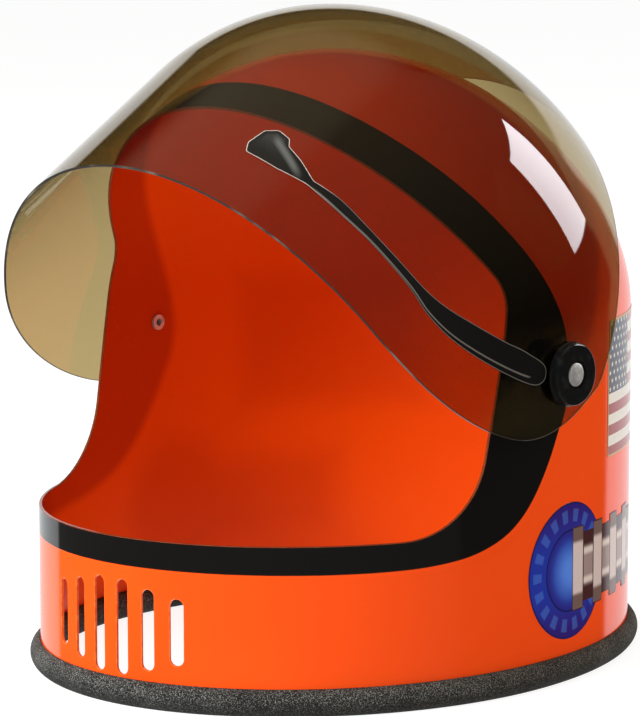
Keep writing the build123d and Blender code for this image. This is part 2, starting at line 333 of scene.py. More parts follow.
@dataclass(frozen=True)
class Microphone:
    """Printed boom microphone, drawn on an oblique upright plane by the pivot."""

    view_angle: float = 50.0
    length: float = 157.8
    fall: float = 40.2
    end_reach: float = 75.6
    end_drop: float = 9.9
    head_radius: float = 1.5
    spine: tuple[Run, ...] = (
        (0, 0.1), (0.081, 0.356), (0.148, 0.545), (0.237, 0.745), (0.317, 0.865),
        (0.385, 0.9), (0.526, 0.885), (0.616, 0.868), (0.715, 0.844),
    )
    stripe_inset: tuple[Run, ...] = ((0.05, 2.7), (0.2, 2.3), (0.35, 1.35), (0.47, 0.95), (0.62, 0.75))
    turns: Triple = (1.5 * math.pi - 0.62, 2 * math.pi + 0.08, 0.0062)
    rows: Triple = (31.0, 82.0, 0.9)

    def axes(self, places: Points) -> Points:
        """Places as reach along the oblique plane and height.

        Args:
            places: Places of the closed visor, one a row.

        Returns:
            Reach from the pivot and height, one pair a row.
        """
        angle = math.radians(self.view_angle)
        reach = places[:, 0] * math.cos(angle) + (places[:, 1] - PIVOT_Y) * math.sin(angle)
        return np.column_stack((reach, places[:, 2]))

    def point(self, share: tuple[float, float]) -> tuple[float, float]:
        """Point of the outline from its shares of length and fall."""
        along, down = share
        return self.end_reach - along * self.length, PIVOT_Z - self.end_drop - down * self.fall

    def outline(self) -> Points:
        """Closed outline of the microphone.

        Returns:
            Its points, as reach and height.
        """
        top = [(0.02, 0.03), (0.081, 0.162), (0.148, 0.366), (0.237, 0.585), (0.317, 0.744), (0.385, 0.816)]
        top += [(0.526, 0.826), (0.616, 0.808), (0.715, 0.774), (0.798, 0.794)]
        head = [(0.815, 0.761), (0.861, 0.667), (0.909, 0.597), (0.923, 0.505), (0.961, 0.47)]
        head += [(0.99, 0.562), (1.0, 0.799), (0.986, 0.925), (0.893, 0.93), (0.805, 0.886)]
        foot = [(0.747, 0.905), (0.675, 0.925), (0.592, 0.93), (0.515, 0.945), (0.42, 0.965), (0.344, 1.0)]
        foot += [(0.267, 0.958), (0.18, 0.811), (0.081, 0.55), (0.017, 0.318), (0.0, 0.209), (0.0, 0.09)]
        path = smooth_path([self.point(s) for s in [*foot, *top]])
        radii = {corner: self.head_radius for corner in range(1, len(head) - 1)}
        return np.vstack((path, rounded_path([self.point(s) for s in head], radii, 5)))


# ---------------------------------------------------------------- sheets


@dataclass(frozen=True)
class DomeFace:
    """Outer face of a domed sheet: an oval plan, upright walls and a rounded crown."""

    half_width: float
    front_depth: float
    back_depth: float
    foot: float
    spring: float
    rise: float
    crown_share: float
    centre_y: float
    pad_x: float = 0.0
    pad_flat: float = 13.0
    pad_fade: float = 24.0

    def place(self, u: np.ndarray, v: np.ndarray) -> Points:
        """Places on the face.

        Args:
            u: Plan angle, anticlockwise from +X.
            v: 0 to 1 up the wall, and 1 to 2 up the dome.

        Returns:
            Places in millimetres, with X, Y and Z last.
        """
        wall, t = np.clip(v, 0, 1), np.clip(v - 1, 0, 1)
        start, near, far, end = (1 - t) ** 3, 3 * (1 - t) ** 2 * t, 3 * (1 - t) * t**2, t**3
        radius = self.half_width * (start + near + far * self.crown_share)
        height = self.foot + wall * (self.spring - self.foot)
        height = height + self.rise * (near * self.crown_share + far + end)
        depth = np.where(np.sin(u) < 0, self.front_depth, self.back_depth) / self.half_width
        x = radius * np.cos(u)
        y = self.centre_y + radius * depth * np.sin(u)
        if self.pad_x:
            away = np.hypot(y - PIVOT_Y, height - PIVOT_Z)
            fade = np.clip((self.pad_fade - away) / (self.pad_fade - self.pad_flat), 0, 1)
            share = fade * fade * (3 - 2 * fade)
            x = x + share * (np.sign(x) * self.pad_x - x)
        return np.stack(np.broadcast_arrays(x, y, height), axis=-1)

    def normal(self, u: np.ndarray, v: np.ndarray, step: float = 1e-4) -> Points:
        """Outward unit normals at places on the face.

        Args:
            u: Plan angle, anticlockwise from +X.
            v: 0 to 1 up the wall, and 1 to 2 up the dome.
            step: Step of the differences.

        Returns:
            Unit normals, with X, Y and Z last.
        """
        v = np.clip(v, step, 2 - step)
        along = self.place(u + step, v) - self.place(u - step, v)
        up = self.place(u, v + step) - self.place(u, v - step)
        across = np.cross(along, up)
        return across / np.linalg.norm(across, axis=-1, keepdims=True)


def add_object(name: str, data: bpy.types.ID | None) -> bpy.types.Object:
    """Make an object with its data and link it to the scene.

    Args:
        name: Name of the object.
        data: Its mesh, curve, camera or light.

    Returns:
        The linked object.
    """
    obj = bpy.data.objects.new(name, data)
    bpy.context.scene.collection.objects.link(obj)
    return obj


@dataclass
class SheetMesh:
    """Vertices, faces and normals of a sheet piece, in millimetres."""

    vertices: Points
    normals: Points
    faces: list[tuple[int, ...]]
    finishes: list[int]
    attributes: dict[str, np.ndarray] = field(default_factory=dict)

    def turned_up(self) -> "SheetMesh":
        """The same sheet in the raised place."""
        pivot, vertices = np.array((0, PIVOT_Y, PIVOT_Z)), turn_up(self.vertices)
        return replace(self, vertices=vertices, normals=turn_up(self.normals + pivot) - pivot)

    def to_object(self, name: str, materials: list[bpy.types.Material]) -> bpy.types.Object:
        """Make the Blender object.

        Args:
            name: Name of the object and its mesh.
            materials: Materials of the outside, the inside and the cut edges.

        Returns:
            The linked object.
        """
        mesh = bpy.data.meshes.new(name)
        mesh.from_pydata((self.vertices * MM).tolist(), [], self.faces)
        for material in materials:
            mesh.materials.append(material)
        limit = len(materials) - 1
        mesh.polygons.foreach_set("material_index", np.minimum(self.finishes, limit).astype(np.int32))
        mesh.polygons.foreach_set("use_smooth", np.ones(len(mesh.polygons), bool))
        for key, values in self.attributes.items():
            layer = mesh.attributes.new(key, "FLOAT", "POINT")
            layer.data.foreach_set("value", values.astype(np.float32))
        mesh.normals_split_custom_set_from_vertices(self.normals.tolist())
        mesh.update()
        return add_object(name, mesh)


OUTSIDE, INSIDE, EDGE = range(3)


@dataclass
class TrimmedSheet:
    """A formed sheet with a wall thickness, trimmed with softly rounded edges.

    The distance function is positive on the sheet and negative where it is
    cut away.
    """

    face: DomeFace
    us: np.ndarray
    vs: np.ndarray
    distance: Distance
    wall: float
    edge_radius: float
    lift: float = 0.0
    round_about: bool = True
    corner_steps: int = 3
    slope_step: float = 0.05
    least_slope: float = 0.3

    def _place(self, uv: Points) -> Points:
        """Places of the outside at grid coordinates."""
        u, v = uv.T
        return self.face.place(u, v) + self.lift * self.face.normal(u, v)

    def _kept(self, uv: Points) -> np.ndarray:
        """Distance inside the line where the flat of the sheet ends."""
        return self.distance(self._place(uv)) - self.edge_radius

    def _crossings(self, first: Points, second: Points, rounds: int = 24) -> Points:
        """Grid coordinates where the trim line crosses segments.

        Args:
            first: Kept ends of the segments.
            second: Cut ends of the segments.
            rounds: Halvings of each segment.

        Returns:
            Grid coordinates of the crossings.
        """
        low, high = first.copy(), second.copy()
        for _ in range(rounds):
            middle = (low + high) / 2
            kept = self._kept(middle) > 0
            low[kept] = middle[kept]
            high[~kept] = middle[~kept]
        return low

    def _flat(self) -> tuple[Points, list[tuple[int, ...]], list[tuple[int, int]], list[tuple[int, int]]]:
        """Outside layer of the sheet.

        Returns:
            Grid coordinates of its points, its faces, its trimmed border and
            its foot border.
        """
        nu, nv = len(self.us), len(self.vs)
        grid = np.stack(np.meshgrid(self.us, self.vs, indexing="ij"), axis=-1).reshape(-1, 2)
        kept = (self._kept(grid) > 0).reshape(nu, nv)
        number = np.full((nu, nv), -1)
        number[kept] = np.arange(kept.sum())
        if self.vs[-1] >= 2 and kept[0, -1]:
            number[:, -1] = number[0, -1]
        coordinates = [grid.reshape(nu, nv, 2)[kept]]
        count = int(kept.sum())
        columns = range(nu) if self.round_about else range(nu - 1)
        pairs = [((i, j), ((i + 1) % nu, j)) for i in columns for j in range(nv)]
        pairs += [((i, j), (i, j + 1)) for i in range(nu) for j in range(nv - 1)]
        cut = [(a, b) if kept[a] else (b, a) for a, b in pairs if kept[a] != kept[b]]
        shaped = grid.reshape(nu, nv, 2)
        first = np.array([shaped[a] for a, _ in cut]).reshape(-1, 2)
        second = np.array([shaped[b] for _, b in cut]).reshape(-1, 2)
        turn = 2 * math.pi
        if len(cut):
            second[:, 0] += turn * np.round((first[:, 0] - second[:, 0]) / turn)
            coordinates.append(self._crossings(first, second))
        crossing = {frozenset(pair): count + k for k, pair in enumerate(cut)}
        faces, border, foot = [], [], []
        for i in columns:
            for j in range(nv - 1):
                corners = [(i, j), ((i + 1) % nu, j), ((i + 1) % nu, j + 1), (i, j + 1)]
                flags = [bool(kept[c]) for c in corners]
                if not any(flags):
                    continue
                ring, marks = [], []
                for k, corner in enumerate(corners):
                    after = corners[(k + 1) % 4]
                    if flags[k]:
                        ring.append(int(number[corner]))
                        marks.append(False)
                    if flags[k] != flags[(k + 1) % 4]:
                        ring.append(crossing[frozenset((corner, after))])
                        marks.append(flags[k])
                clean = [n for k, n in enumerate(ring) if n != ring[k - 1]]
                if len(clean) >= 3:
                    faces.append(tuple(clean))
                for k, leaves in enumerate(marks):
                    if leaves:
                        border.append((ring[k], ring[(k + 1) % len(ring)]))
                if j == 0 and flags[0] and flags[1]:
                    foot.append((int(number[corners[0]]), int(number[corners[1]])))
        return np.vstack(coordinates), faces, border, foot

    def build(self) -> SheetMesh:
        """Both layers of the sheet and the rounded edges between them.

        Returns:
            The mesh data, in millimetres.
        """
        uv, faces, border, foot = self._flat()
        outside = self._place(uv)
        normals = self.face.normal(uv[:, 0], uv[:, 1])
        count = len(outside)
        inside = outside - self.wall * normals
        vertices, directions = [outside, inside], [normals, -normals]
        finishes = [OUTSIDE] * len(faces) + [INSIDE] * len(faces)
        every = faces + [tuple(n + count for n in reversed(ring)) for ring in faces]
        rim = sorted({n for edge in border for n in edge})
        ring_number = {n: k for k, n in enumerate(rim)}
        at, up = outside[rim], normals[rim]
        steps = np.eye(3) * self.slope_step
        slope = np.column_stack([self.distance(at + step) - self.distance(at - step) for step in steps])
        slope /= 2 * self.slope_step
        flat_slope = slope - np.sum(slope * up, axis=1, keepdims=True) * up
        steep = np.maximum(np.linalg.norm(flat_slope, axis=1, keepdims=True), self.least_slope)
        towards = -flat_slope / steep
        reach = self.edge_radius / steep
        layers = [np.array(rim)]
        base = 2 * count
        angles = [math.pi / 2 * (k + 1) / self.corner_steps for k in range(self.corner_steps)]
        profile = [(a, 1) for a in angles] + [(a, -1) for a in reversed(angles[:-1])]
        if self.wall > 2 * self.edge_radius + 1e-6:
            profile.insert(len(angles), (math.pi / 2, -1))
        for angle, way in profile:
            depth = self.edge_radius * (1 - math.cos(angle))
            depth = depth if way > 0 else self.wall - depth
            vertices.append(at + towards * reach * math.sin(angle) - up * depth)
            directions.append(towards * math.sin(angle) + up * math.cos(angle) * way)
            layers.append(base + np.arange(len(rim)))
            base += len(rim)
        layers.append(np.array(rim) + count)
        for upper, lower in zip(layers, layers[1:], strict=False):
            for a, b in border:
                ka, kb = ring_number[a], ring_number[b]
                every.append((int(upper[kb]), int(upper[ka]), int(lower[ka]), int(lower[kb])))
                finishes.append(EDGE)
        for a, b in foot:
            every.append((b, a, a + count, b + count))
            finishes.append(EDGE)
        directions = np.vstack(directions)
        directions /= np.linalg.norm(directions, axis=1, keepdims=True)
        return SheetMesh(np.vstack(vertices), directions, every, finishes)


def stops(*runs: Triple) -> np.ndarray:
    """Grid lines, in order, from runs with a start, an end and a greatest step."""
    lines = [np.linspace(a, b, max(1, math.ceil(abs(b - a) / step)) + 1) for a, b, step in runs]
    return np.unique(np.round(np.concatenate(lines), 9))


def sheet_grid(face: DomeFace, around: Runs, rows: Runs, dome_rows: int) -> tuple[np.ndarray, np.ndarray]:
    """Grid lines of a closed sheet: plan angles, and shares up the wall and the dome."""
    wall = stops(*rows) / (face.spring - face.foot)
    return stops(*around)[:-1], np.concatenate((wall, 1 + stops((0.0, 1.0, 1 / dome_rows))[1:]))


# ---------------------------------------------------------------- node trees


class Tree:
    """Short way to build a node tree."""

    def __init__(self, tree: bpy.types.NodeTree) -> None:
        """Keep the tree to build in."""
        self.tree = tree

    def node(self, kind: str, inputs: dict | None = None, **settings: object) -> bpy.types.Node:
        """Add a node.

        Args:
            kind: Blender's name of the node type.
            inputs: Values or sockets for inputs, by name or number.
            settings: Properties of the node.

        Returns:
            The node.
        """
        node = self.tree.nodes.new(kind)
        for key, value in settings.items():
            setattr(node, key, value)
        for key, value in (inputs or {}).items():
            if isinstance(value, Socket):
                self.tree.links.new(value, node.inputs[key])
            elif value is not None:
                node.inputs[key].default_value = value
        return node

    def math(self, operation: str, *values: object, clamp: bool = False) -> Socket:
        """Result of a Math node on up to three values or sockets."""
        node = self.node("ShaderNodeMath", dict(enumerate(values)), operation=operation, use_clamp=clamp)
        return node.outputs[0]

    def plus(self, first: object, second: object) -> Socket:
        """Sum of two values or sockets."""
        return self.math("ADD", first, second)

    def minus(self, first: object, second: object) -> Socket:
        """First value or socket less the second."""
        return self.math("SUBTRACT", first, second)

    def times(self, first: object, second: object) -> Socket:
        """Product of two values or sockets."""
        return self.math("MULTIPLY", first, second)

    def over(self, first: object, second: object) -> Socket:
        """First value or socket divided by the second."""
        return self.math("DIVIDE", first, second)

    def least(self, first: object, second: object) -> Socket:
        """Lesser of two values or sockets."""
        return self.math("MINIMUM", first, second)

    def most(self, first: object, second: object) -> Socket:
        """Greater of two values or sockets."""
        return self.math("MAXIMUM", first, second)

    def size(self, value: object) -> Socket:
        """Size of a value or socket, without its sign."""
        return self.math("ABSOLUTE", value)

    def length(self, first: object, second: object) -> Socket:
        """Length of the slope over two square sides."""
        return self.math("SQRT", self.plus(self.math("POWER", first, 2.0), self.math("POWER", second, 2.0)))

    def span(
        self,
        value: Socket,
        start: float,
        end: float,
        low: float = 0.0,
        high: float = 1.0,
        smooth: bool = True,
    ) -> Socket:
        """Map a value from start..end to low..high, held at the ends.

        Args:
            value: Socket to map.
            start: Value that gives low.
            end: Value that gives high.
            low: First result.
            high: Last result.
            smooth: Ease at both ends.

        Returns:
            The mapped socket.
        """
        node = self.node(
            "ShaderNodeMapRange",
            {"Value": value, "From Min": start, "From Max": end, "To Min": low, "To Max": high},
            interpolation_type="SMOOTHSTEP" if smooth else "LINEAR",
        )
        return node.outputs["Result"]

    def blend(self, share: object, first: object, second: object) -> Socket:
        """Mix two colours.

        Args:
            share: Share of the second, as a number or socket.
            first: First colour or socket.
            second: Second colour or socket.

        Returns:
            The mixed colour socket.
        """
        node = self.node("ShaderNodeMix", data_type="RGBA", blend_type="MIX")
        for number, value in ((0, share), (6, first), (7, second)):
            if isinstance(value, Socket):
                self.tree.links.new(value, node.inputs[number])
            elif isinstance(value, tuple):
                node.inputs[number].default_value = (*value, 1.0)
            else:
                node.inputs[number].default_value = value
        return node.outputs[2]

    def between(self, value: Socket, start: Run, end: Run) -> Socket:
        """Mask that comes in over the start run and goes out over the end run."""
        return self.times(self.span(value, *start), self.span(value, *reversed(end)))

    def noise(self, vector: Socket, scale: object, detail: float = 2.0) -> Socket:
        """Noise value at a scale, from 0 to 1 about 0.5."""
        node = self.node("ShaderNodeTexNoise", {"Vector": vector, "Scale": scale, "Detail": detail})
        return node.outputs["Fac"]

    def place(self) -> Socket:
        """Object coordinates, in metres."""
        return self.node("ShaderNodeTexCoord").outputs["Object"]

    def part(self, axis: str, unit: float = 1.0) -> Socket:
        """One object coordinate, in metres or a given unit."""
        part = self.node("ShaderNodeSeparateXYZ", {0: self.place()}).outputs[axis]
        return part if unit == 1.0 else self.times(part, 1 / unit)

    def value_of(self, name: str) -> Socket:
        """Value of a mesh attribute."""
        return self.node("ShaderNodeAttribute", attribute_name=name).outputs["Fac"]

    def bump(self, height: Socket, distance: object, normal: Socket | None = None) -> Socket:
        """Normal from a height socket and the height of 1 in metres, on a normal or the surface's own."""
        inputs = {"Strength": 1.0, "Distance": distance, "Height": height, "Normal": normal}
        return self.node("ShaderNodeBump", inputs).outputs["Normal"]

    def principled(self, inputs: dict) -> Socket:
        """Shader of a Principled node with these inputs."""
        return self.node("ShaderNodeBsdfPrincipled", inputs).outputs["BSDF"]


@dataclass(frozen=True)
class Mottle:
    """Soft spots on a surface: their scale and detail, and the noise where they begin and are full."""

    scale: float
    detail: float
    start: float
    full: float

    def mask(self, tree: Tree) -> Socket:
        """Mask of the spots, from 0 to 1."""
        return tree.span(tree.noise(tree.place(), self.scale, self.detail), self.start, self.full)


def gloss_group() -> bpy.types.NodeTree:
    """Shader group for moulded gloss plastic: roughness that varies a little, and slight waves.

    Returns:
        The group, made once.
    """
    name = "moulded_gloss"
    if name in bpy.data.node_groups:
        return bpy.data.node_groups[name]
    group = bpy.data.node_groups.new(name, "ShaderNodeTree")
    for label, kind, start in (
        ("Roughness", "NodeSocketFloat", 0.1),
        ("Unevenness", "NodeSocketFloat", 0.03),
        ("Wave Height", "NodeSocketFloat", 0.0002),
        ("Wave Scale", "NodeSocketFloat", 18.0),
    ):
        socket = group.interface.new_socket(label, in_out="INPUT", socket_type=kind)
        socket.default_value = start
    group.interface.new_socket("Roughness", in_out="OUTPUT", socket_type="NodeSocketFloat")
    group.interface.new_socket("Normal", in_out="OUTPUT", socket_type="NodeSocketVector")
    tree = Tree(group)
    given = tree.node("NodeGroupInput")
    place = tree.place()
    fine = tree.noise(place, 260.0, 4.0)
    broad = tree.noise(place, 9.0, 2.0)
    uneven = tree.plus(tree.times(fine, 0.5), tree.times(broad, 0.5))
    centred = tree.minus(uneven, 0.5)
    spread = tree.times(centred, given.outputs["Unevenness"])
    rough = tree.math("ADD", given.outputs["Roughness"], spread, clamp=True)
    wave = tree.noise(place, given.outputs["Wave Scale"], 1.0)
    normal = tree.bump(wave, given.outputs["Wave Height"])
    tree.node("NodeGroupOutput", {"Roughness": rough, "Normal": normal})
    return group


@dataclass(frozen=True)
class Gloss:
    """How smooth a moulded surface is: its roughness, and slight waves in metres."""

    rough: float
    uneven: float
    wave_height: float
    wave_scale: float


@dataclass(frozen=True)
class Finish:
    """A material of the helmet."""

    name: str

    def material(self) -> bpy.types.Material:
        """Make the material.

        Returns:
            The material with its nodes.
        """
        made = bpy.data.materials.new(self.name)
        made.use_nodes = True
        made.node_tree.nodes.clear()
        tree = Tree(made.node_tree)
        tree.node("ShaderNodeOutputMaterial", {"Surface": self.surface(tree)})
        return made

    def surface(self, tree: Tree) -> Socket:
        """Shader of the surface, which each finish gives."""
        raise NotImplementedError

    def smoothness(self, tree: Tree, gloss: Gloss) -> tuple[Socket, Socket]:
        """Roughness and normal of a moulded surface, from the gloss group.

        Args:
            tree: Tree to build in.
            gloss: Values of this finish.

        Returns:
            The roughness and the normal.
        """
        node = tree.node("ShaderNodeGroup", node_tree=gloss_group())
        values = (gloss.rough, gloss.uneven, gloss.wave_height, gloss.wave_scale)
        for socket, value in zip(node.inputs, values, strict=True):
            socket.default_value = value
        return node.outputs["Roughness"], node.outputs["Normal"]

    def plastic(
        self, tree: Tree, colour: Socket, gloss: Gloss, fixed: dict[str, float] | None = None
    ) -> Socket:
        """Shader of a moulded or printed surface.

        Args:
            tree: Tree to build in.
            colour: Its colour.
            gloss: How smooth it is.
            fixed: More of the shader's values, the same all over.

        Returns:
            The shader's socket.
        """
        rough, normal = self.smoothness(tree, gloss)
        inputs = {"Base Color": colour, "Roughness": rough, "Normal": normal, **(fixed or {})}
        return tree.principled(inputs)


@dataclass(frozen=True)
class ShellOutside(Finish):
    """Orange gloss sheet with a black painted band round the opening."""

    orange: Colour = (0.93, 0.083, 0.006)
    deep: Colour = (0.89, 0.07, 0.004)
    black: Colour = (0.0045, 0.004, 0.0035)
    cloud: Mottle = Mottle(7.0, 2.0, 0.35, 0.65)
    paint_edge: Run = (-0.12, 0.12)
    paint_height: float = 0.00004
    paint_smoother: float = 0.03
    index: float = 1.5
    gloss: Gloss = Gloss(0.09, 0.05, 0.00012, 14.0)

    def surface(self, tree: Tree) -> Socket:
        """Shader of the outside.

        Args:
            tree: Tree to build in.

        Returns:
            The shader's socket.
        """
        orange = tree.blend(self.cloud.mask(tree), self.orange, self.deep)
        band = tree.span(tree.value_of("band"), *self.paint_edge)
        rough, normal = self.smoothness(tree, self.gloss)
        inputs = {
            "Base Color": tree.blend(band, orange, self.black),
            "Roughness": tree.minus(rough, tree.times(band, self.paint_smoother)),
            "IOR": self.index,
            "Normal": tree.bump(band, self.paint_height, normal),
        }
        return tree.principled(inputs)


@dataclass(frozen=True)
class ShellInside(Finish):
    """Unpainted inside of the orange sheet, darker where prints outside keep the light out."""

    orange: Colour = (0.78, 0.066, 0.001)
    shaded: Colour = (0.42, 0.02, 0.0008)
    band_edge: Run = (-3.5, 3.5)
    band_shade: float = 0.75
    print_edge: Run = (-12.0, 10.0)
    print_shade: float = 0.3
    cloud: Mottle = Mottle(11.0, 3.0, 0.4, 0.75)
    cloud_shade: float = 0.12
    index: float = 1.48
    shine: float = 0.16
    gloss: Gloss = Gloss(0.26, 0.08, 0.0002, 16.0)

    def surface(self, tree: Tree) -> Socket:
        """Shader of the inside.

        Args:
            tree: Tree to build in.

        Returns:
            The shader's socket.
        """
        band = tree.span(tree.value_of("band"), *self.band_edge, 0.0, self.band_shade)
        prints = tree.span(tree.value_of("print"), *self.print_edge, 0.0, self.print_shade)
        colour = tree.blend(tree.most(band, prints), self.orange, self.shaded)
        cloud = tree.times(self.cloud.mask(tree), self.cloud_shade)
        colour = tree.blend(cloud, colour, self.shaded)
        fixed = {"IOR": self.index, "Specular IOR Level": self.shine}
        return self.plastic(tree, colour, self.gloss, fixed)


@dataclass(frozen=True)
class CutEdge(Finish):
    """Pale trimmed edge of the orange sheet, black where the paint runs over it."""

    pale: Colour = (0.95, 0.17, 0.035)
    scuffed: Colour = (0.85, 0.1, 0.015)
    black: Colour = (0.01, 0.009, 0.008)
    scuff: Mottle = Mottle(420.0, 3.0, 0.4, 0.62)
    paint_edge: Run = (-0.1, 0.1)
    paint_cover: float = 0.8
    gloss: Gloss = Gloss(0.18, 0.1, 0.00002, 900.0)

    def surface(self, tree: Tree) -> Socket:
        """Shader of the trimmed edge.

        Args:
            tree: Tree to build in.

        Returns:
            The shader's socket.
        """
        colour = tree.blend(self.scuff.mask(tree), self.pale, self.scuffed)
        painted = tree.times(tree.span(tree.value_of("band"), *self.paint_edge), self.paint_cover)
        return self.plastic(tree, tree.blend(painted, colour, self.black), self.gloss)


@dataclass(frozen=True)
class SmokeSheet(Finish):
    """Clear smoke-brown sheet, which lets tinted light through."""

    tint: Colour = (0.47, 0.37, 0.18)
    cloud: Mottle = Mottle(5.0, 1.0, 0.3, 0.7)
    cloud_share: float = 0.94
    index: float = 1.5
    rough: float = 0.01
    wave_scale: float = 10.0
    wave_height: float = 0.00015

    def surface(self, tree: Tree) -> Socket:
        """Shader of the clear sheet, which is darker where light crosses it at a slant.

        Args:
            tree: Tree to build in.

        Returns:
            The shader's socket.
        """
        cloudy = tuple(part * self.cloud_share for part in self.tint)
        tint = tree.blend(self.cloud.mask(tree), self.tint, cloudy)
        # The way through the sheet grows as the cosine of the slant inside it falls
        slant = tree.node("ShaderNodeLayerWeight", {"Blend": 0.5}).outputs["Facing"]
        square = tree.math("POWER", tree.minus(1.0, slant), 2.0)
        bent = tree.over(tree.minus(1.0, square), self.index**2)
        cosine = tree.math("SQRT", tree.minus(1.0, bent))
        tint = tree.node("ShaderNodeGamma", {"Color": tint, "Gamma": tree.over(1.0, cosine)}).outputs[0]
        inputs = {
            "Base Color": tint,
            "Roughness": self.rough,
            "IOR": self.index,
            "Transmission Weight": 1.0,
            "Normal": tree.bump(tree.noise(tree.place(), self.wave_scale, 1.0), self.wave_height),
        }
        glass = tree.principled(inputs)
        # Shadow and bounced light meets both faces of the sheet, each with half the tint
        half_tint = tree.node("ShaderNodeGamma", {"Color": tint, "Gamma": 0.5})
        passed = tree.node("ShaderNodeBsdfTransparent", {"Color": half_tint.outputs[0]})
        path = tree.node("ShaderNodeLightPath")
        lamp = tree.most(path.outputs["Is Shadow Ray"], path.outputs["Is Diffuse Ray"])
        inputs = {0: lamp, 1: glass, 2: passed.outputs["BSDF"]}
        return tree.node("ShaderNodeMixShader", inputs).outputs[0]


@dataclass(frozen=True)
class SmokeEdge(Finish):
    """Matt cut edge of the smoke-brown sheet, with a painted highlight that makes it paler along the rear.
    """

    dark: Colour = (0.03, 0.025, 0.019)
    light: Colour = (0.13, 0.11, 0.085)
    # Painted highlight colour of the rear run of the edge
    rear: Colour = (0.5, 0.43, 0.28)
    scuff: Mottle = Mottle(60.0, 3.0, 0.5, 0.72)
    rear_start: Run = (-0.01, 0.03)
    gloss: Gloss = Gloss(0.22, 0.1, 0.00002, 900.0)

    def surface(self, tree: Tree) -> Socket:
        """Shader of the cut edge.

        Args:
            tree: Tree to build in.

        Returns:
            The shader's socket.
        """
        edge = tree.blend(self.scuff.mask(tree), self.dark, self.light)
        # Painted highlight: the rear run of the edge, which faces the bright light behind, is made paler
        edge = tree.blend(tree.span(tree.part("Y"), *self.rear_start), edge, self.rear)
        return self.plastic(tree, edge, self.gloss)


@dataclass(frozen=True)
class FoamFinish(Finish):
    """Dark pebbled foam, with painted shade that darkens its speckles towards the floor."""

    dark: Colour = (0.018, 0.017, 0.015)
    light: Colour = (0.22, 0.21, 0.19)
    grain_scale: float = 1900.0
    cell_scale: float = 950.0
    broad_scale: float = 60.0
    broad_share: float = 0.12
    speck_span: Run = (0.47, 0.64)
    grime_height: Run = (0.001, 0.0105)
    grime_share: float = 0.3
    grain_span: Run = (0.3, 0.7)
    rough: Run = (0.5, 0.8)
    cell_depth: float = 0.8
    grain_depth: float = 0.7
    relief: float = 0.0007
    index: float = 1.25
    shine: float = 0.3

    def surface(self, tree: Tree) -> Socket:
        """Shader of the foam.

        Args:
            tree: Tree to build in.

        Returns:
            The shader's socket.
        """
        place = tree.place()
        grain = tree.noise(place, self.grain_scale, 3.0)
        voronoi = {"Vector": place, "Scale": self.cell_scale}
        cells = tree.node("ShaderNodeTexVoronoi", voronoi, feature="F1").outputs["Distance"]
        broad = tree.noise(place, self.broad_scale)
        mix = tree.plus(tree.times(grain, 1 - self.broad_share), tree.times(broad, self.broad_share))
        # Painted shade: the speckles dim towards the foot, standing in for the shade under the tube; clean
        # here is the share left unshaded
        clean = tree.span(tree.part("Z"), *self.grime_height, self.grime_share, 1.0)
        light = tree.times(tree.span(mix, *self.speck_span), clean)
        height = tree.plus(tree.times(cells, self.cell_depth), tree.times(grain, self.grain_depth))
        inputs = {
            "Base Color": tree.blend(light, self.dark, self.light),
            "Roughness": tree.span(grain, *self.grain_span, *self.rough),
            "IOR": self.index,
            "Specular IOR Level": self.shine,
            "Normal": tree.bump(height, self.relief),
        }
        return tree.principled(inputs)


@dataclass(frozen=True)
class BlackPlastic(Finish):
    """Black moulded gloss plastic with fine turned marks."""

    black: Colour = (0.0045, 0.0045, 0.0045)
    worn: Colour = (0.011, 0.011, 0.011)
    wear: Mottle = Mottle(300.0, 4.0, 0.5, 0.75)
    gloss: Gloss = Gloss(0.075, 0.06, 0.00001, 220.0)

    def surface(self, tree: Tree) -> Socket:
        """Shader of the plastic."""
        return self.plastic(tree, tree.blend(self.wear.mask(tree), self.black, self.worn), self.gloss)


@dataclass(frozen=True)
class RivetMetal(Finish):
    """Satin aluminium with fine pits."""

    light: Colour = (0.82, 0.82, 0.81)
    dull: Colour = (0.56, 0.56, 0.55)
    cloud: Mottle = Mottle(260.0, 2.0, 0.35, 0.7)
    pit_scale: float = 900.0
    pit_span: Run = (0.3, 0.7)
    pit_depth: float = 0.00008
    rough: Run = (0.3, 0.5)
    metal: float = 0.7

    def surface(self, tree: Tree) -> Socket:
        """Shader of the metal.

        Args:
            tree: Tree to build in.

        Returns:
            The shader's socket.
        """
        pits = tree.noise(tree.place(), self.pit_scale, 4.0)
        inputs = {
            "Base Color": tree.blend(self.cloud.mask(tree), self.light, self.dull),
            "Metallic": self.metal,
            "Roughness": tree.span(pits, *self.pit_span, *self.rough),
            "Normal": tree.bump(pits, self.pit_depth),
        }
        return tree.principled(inputs)


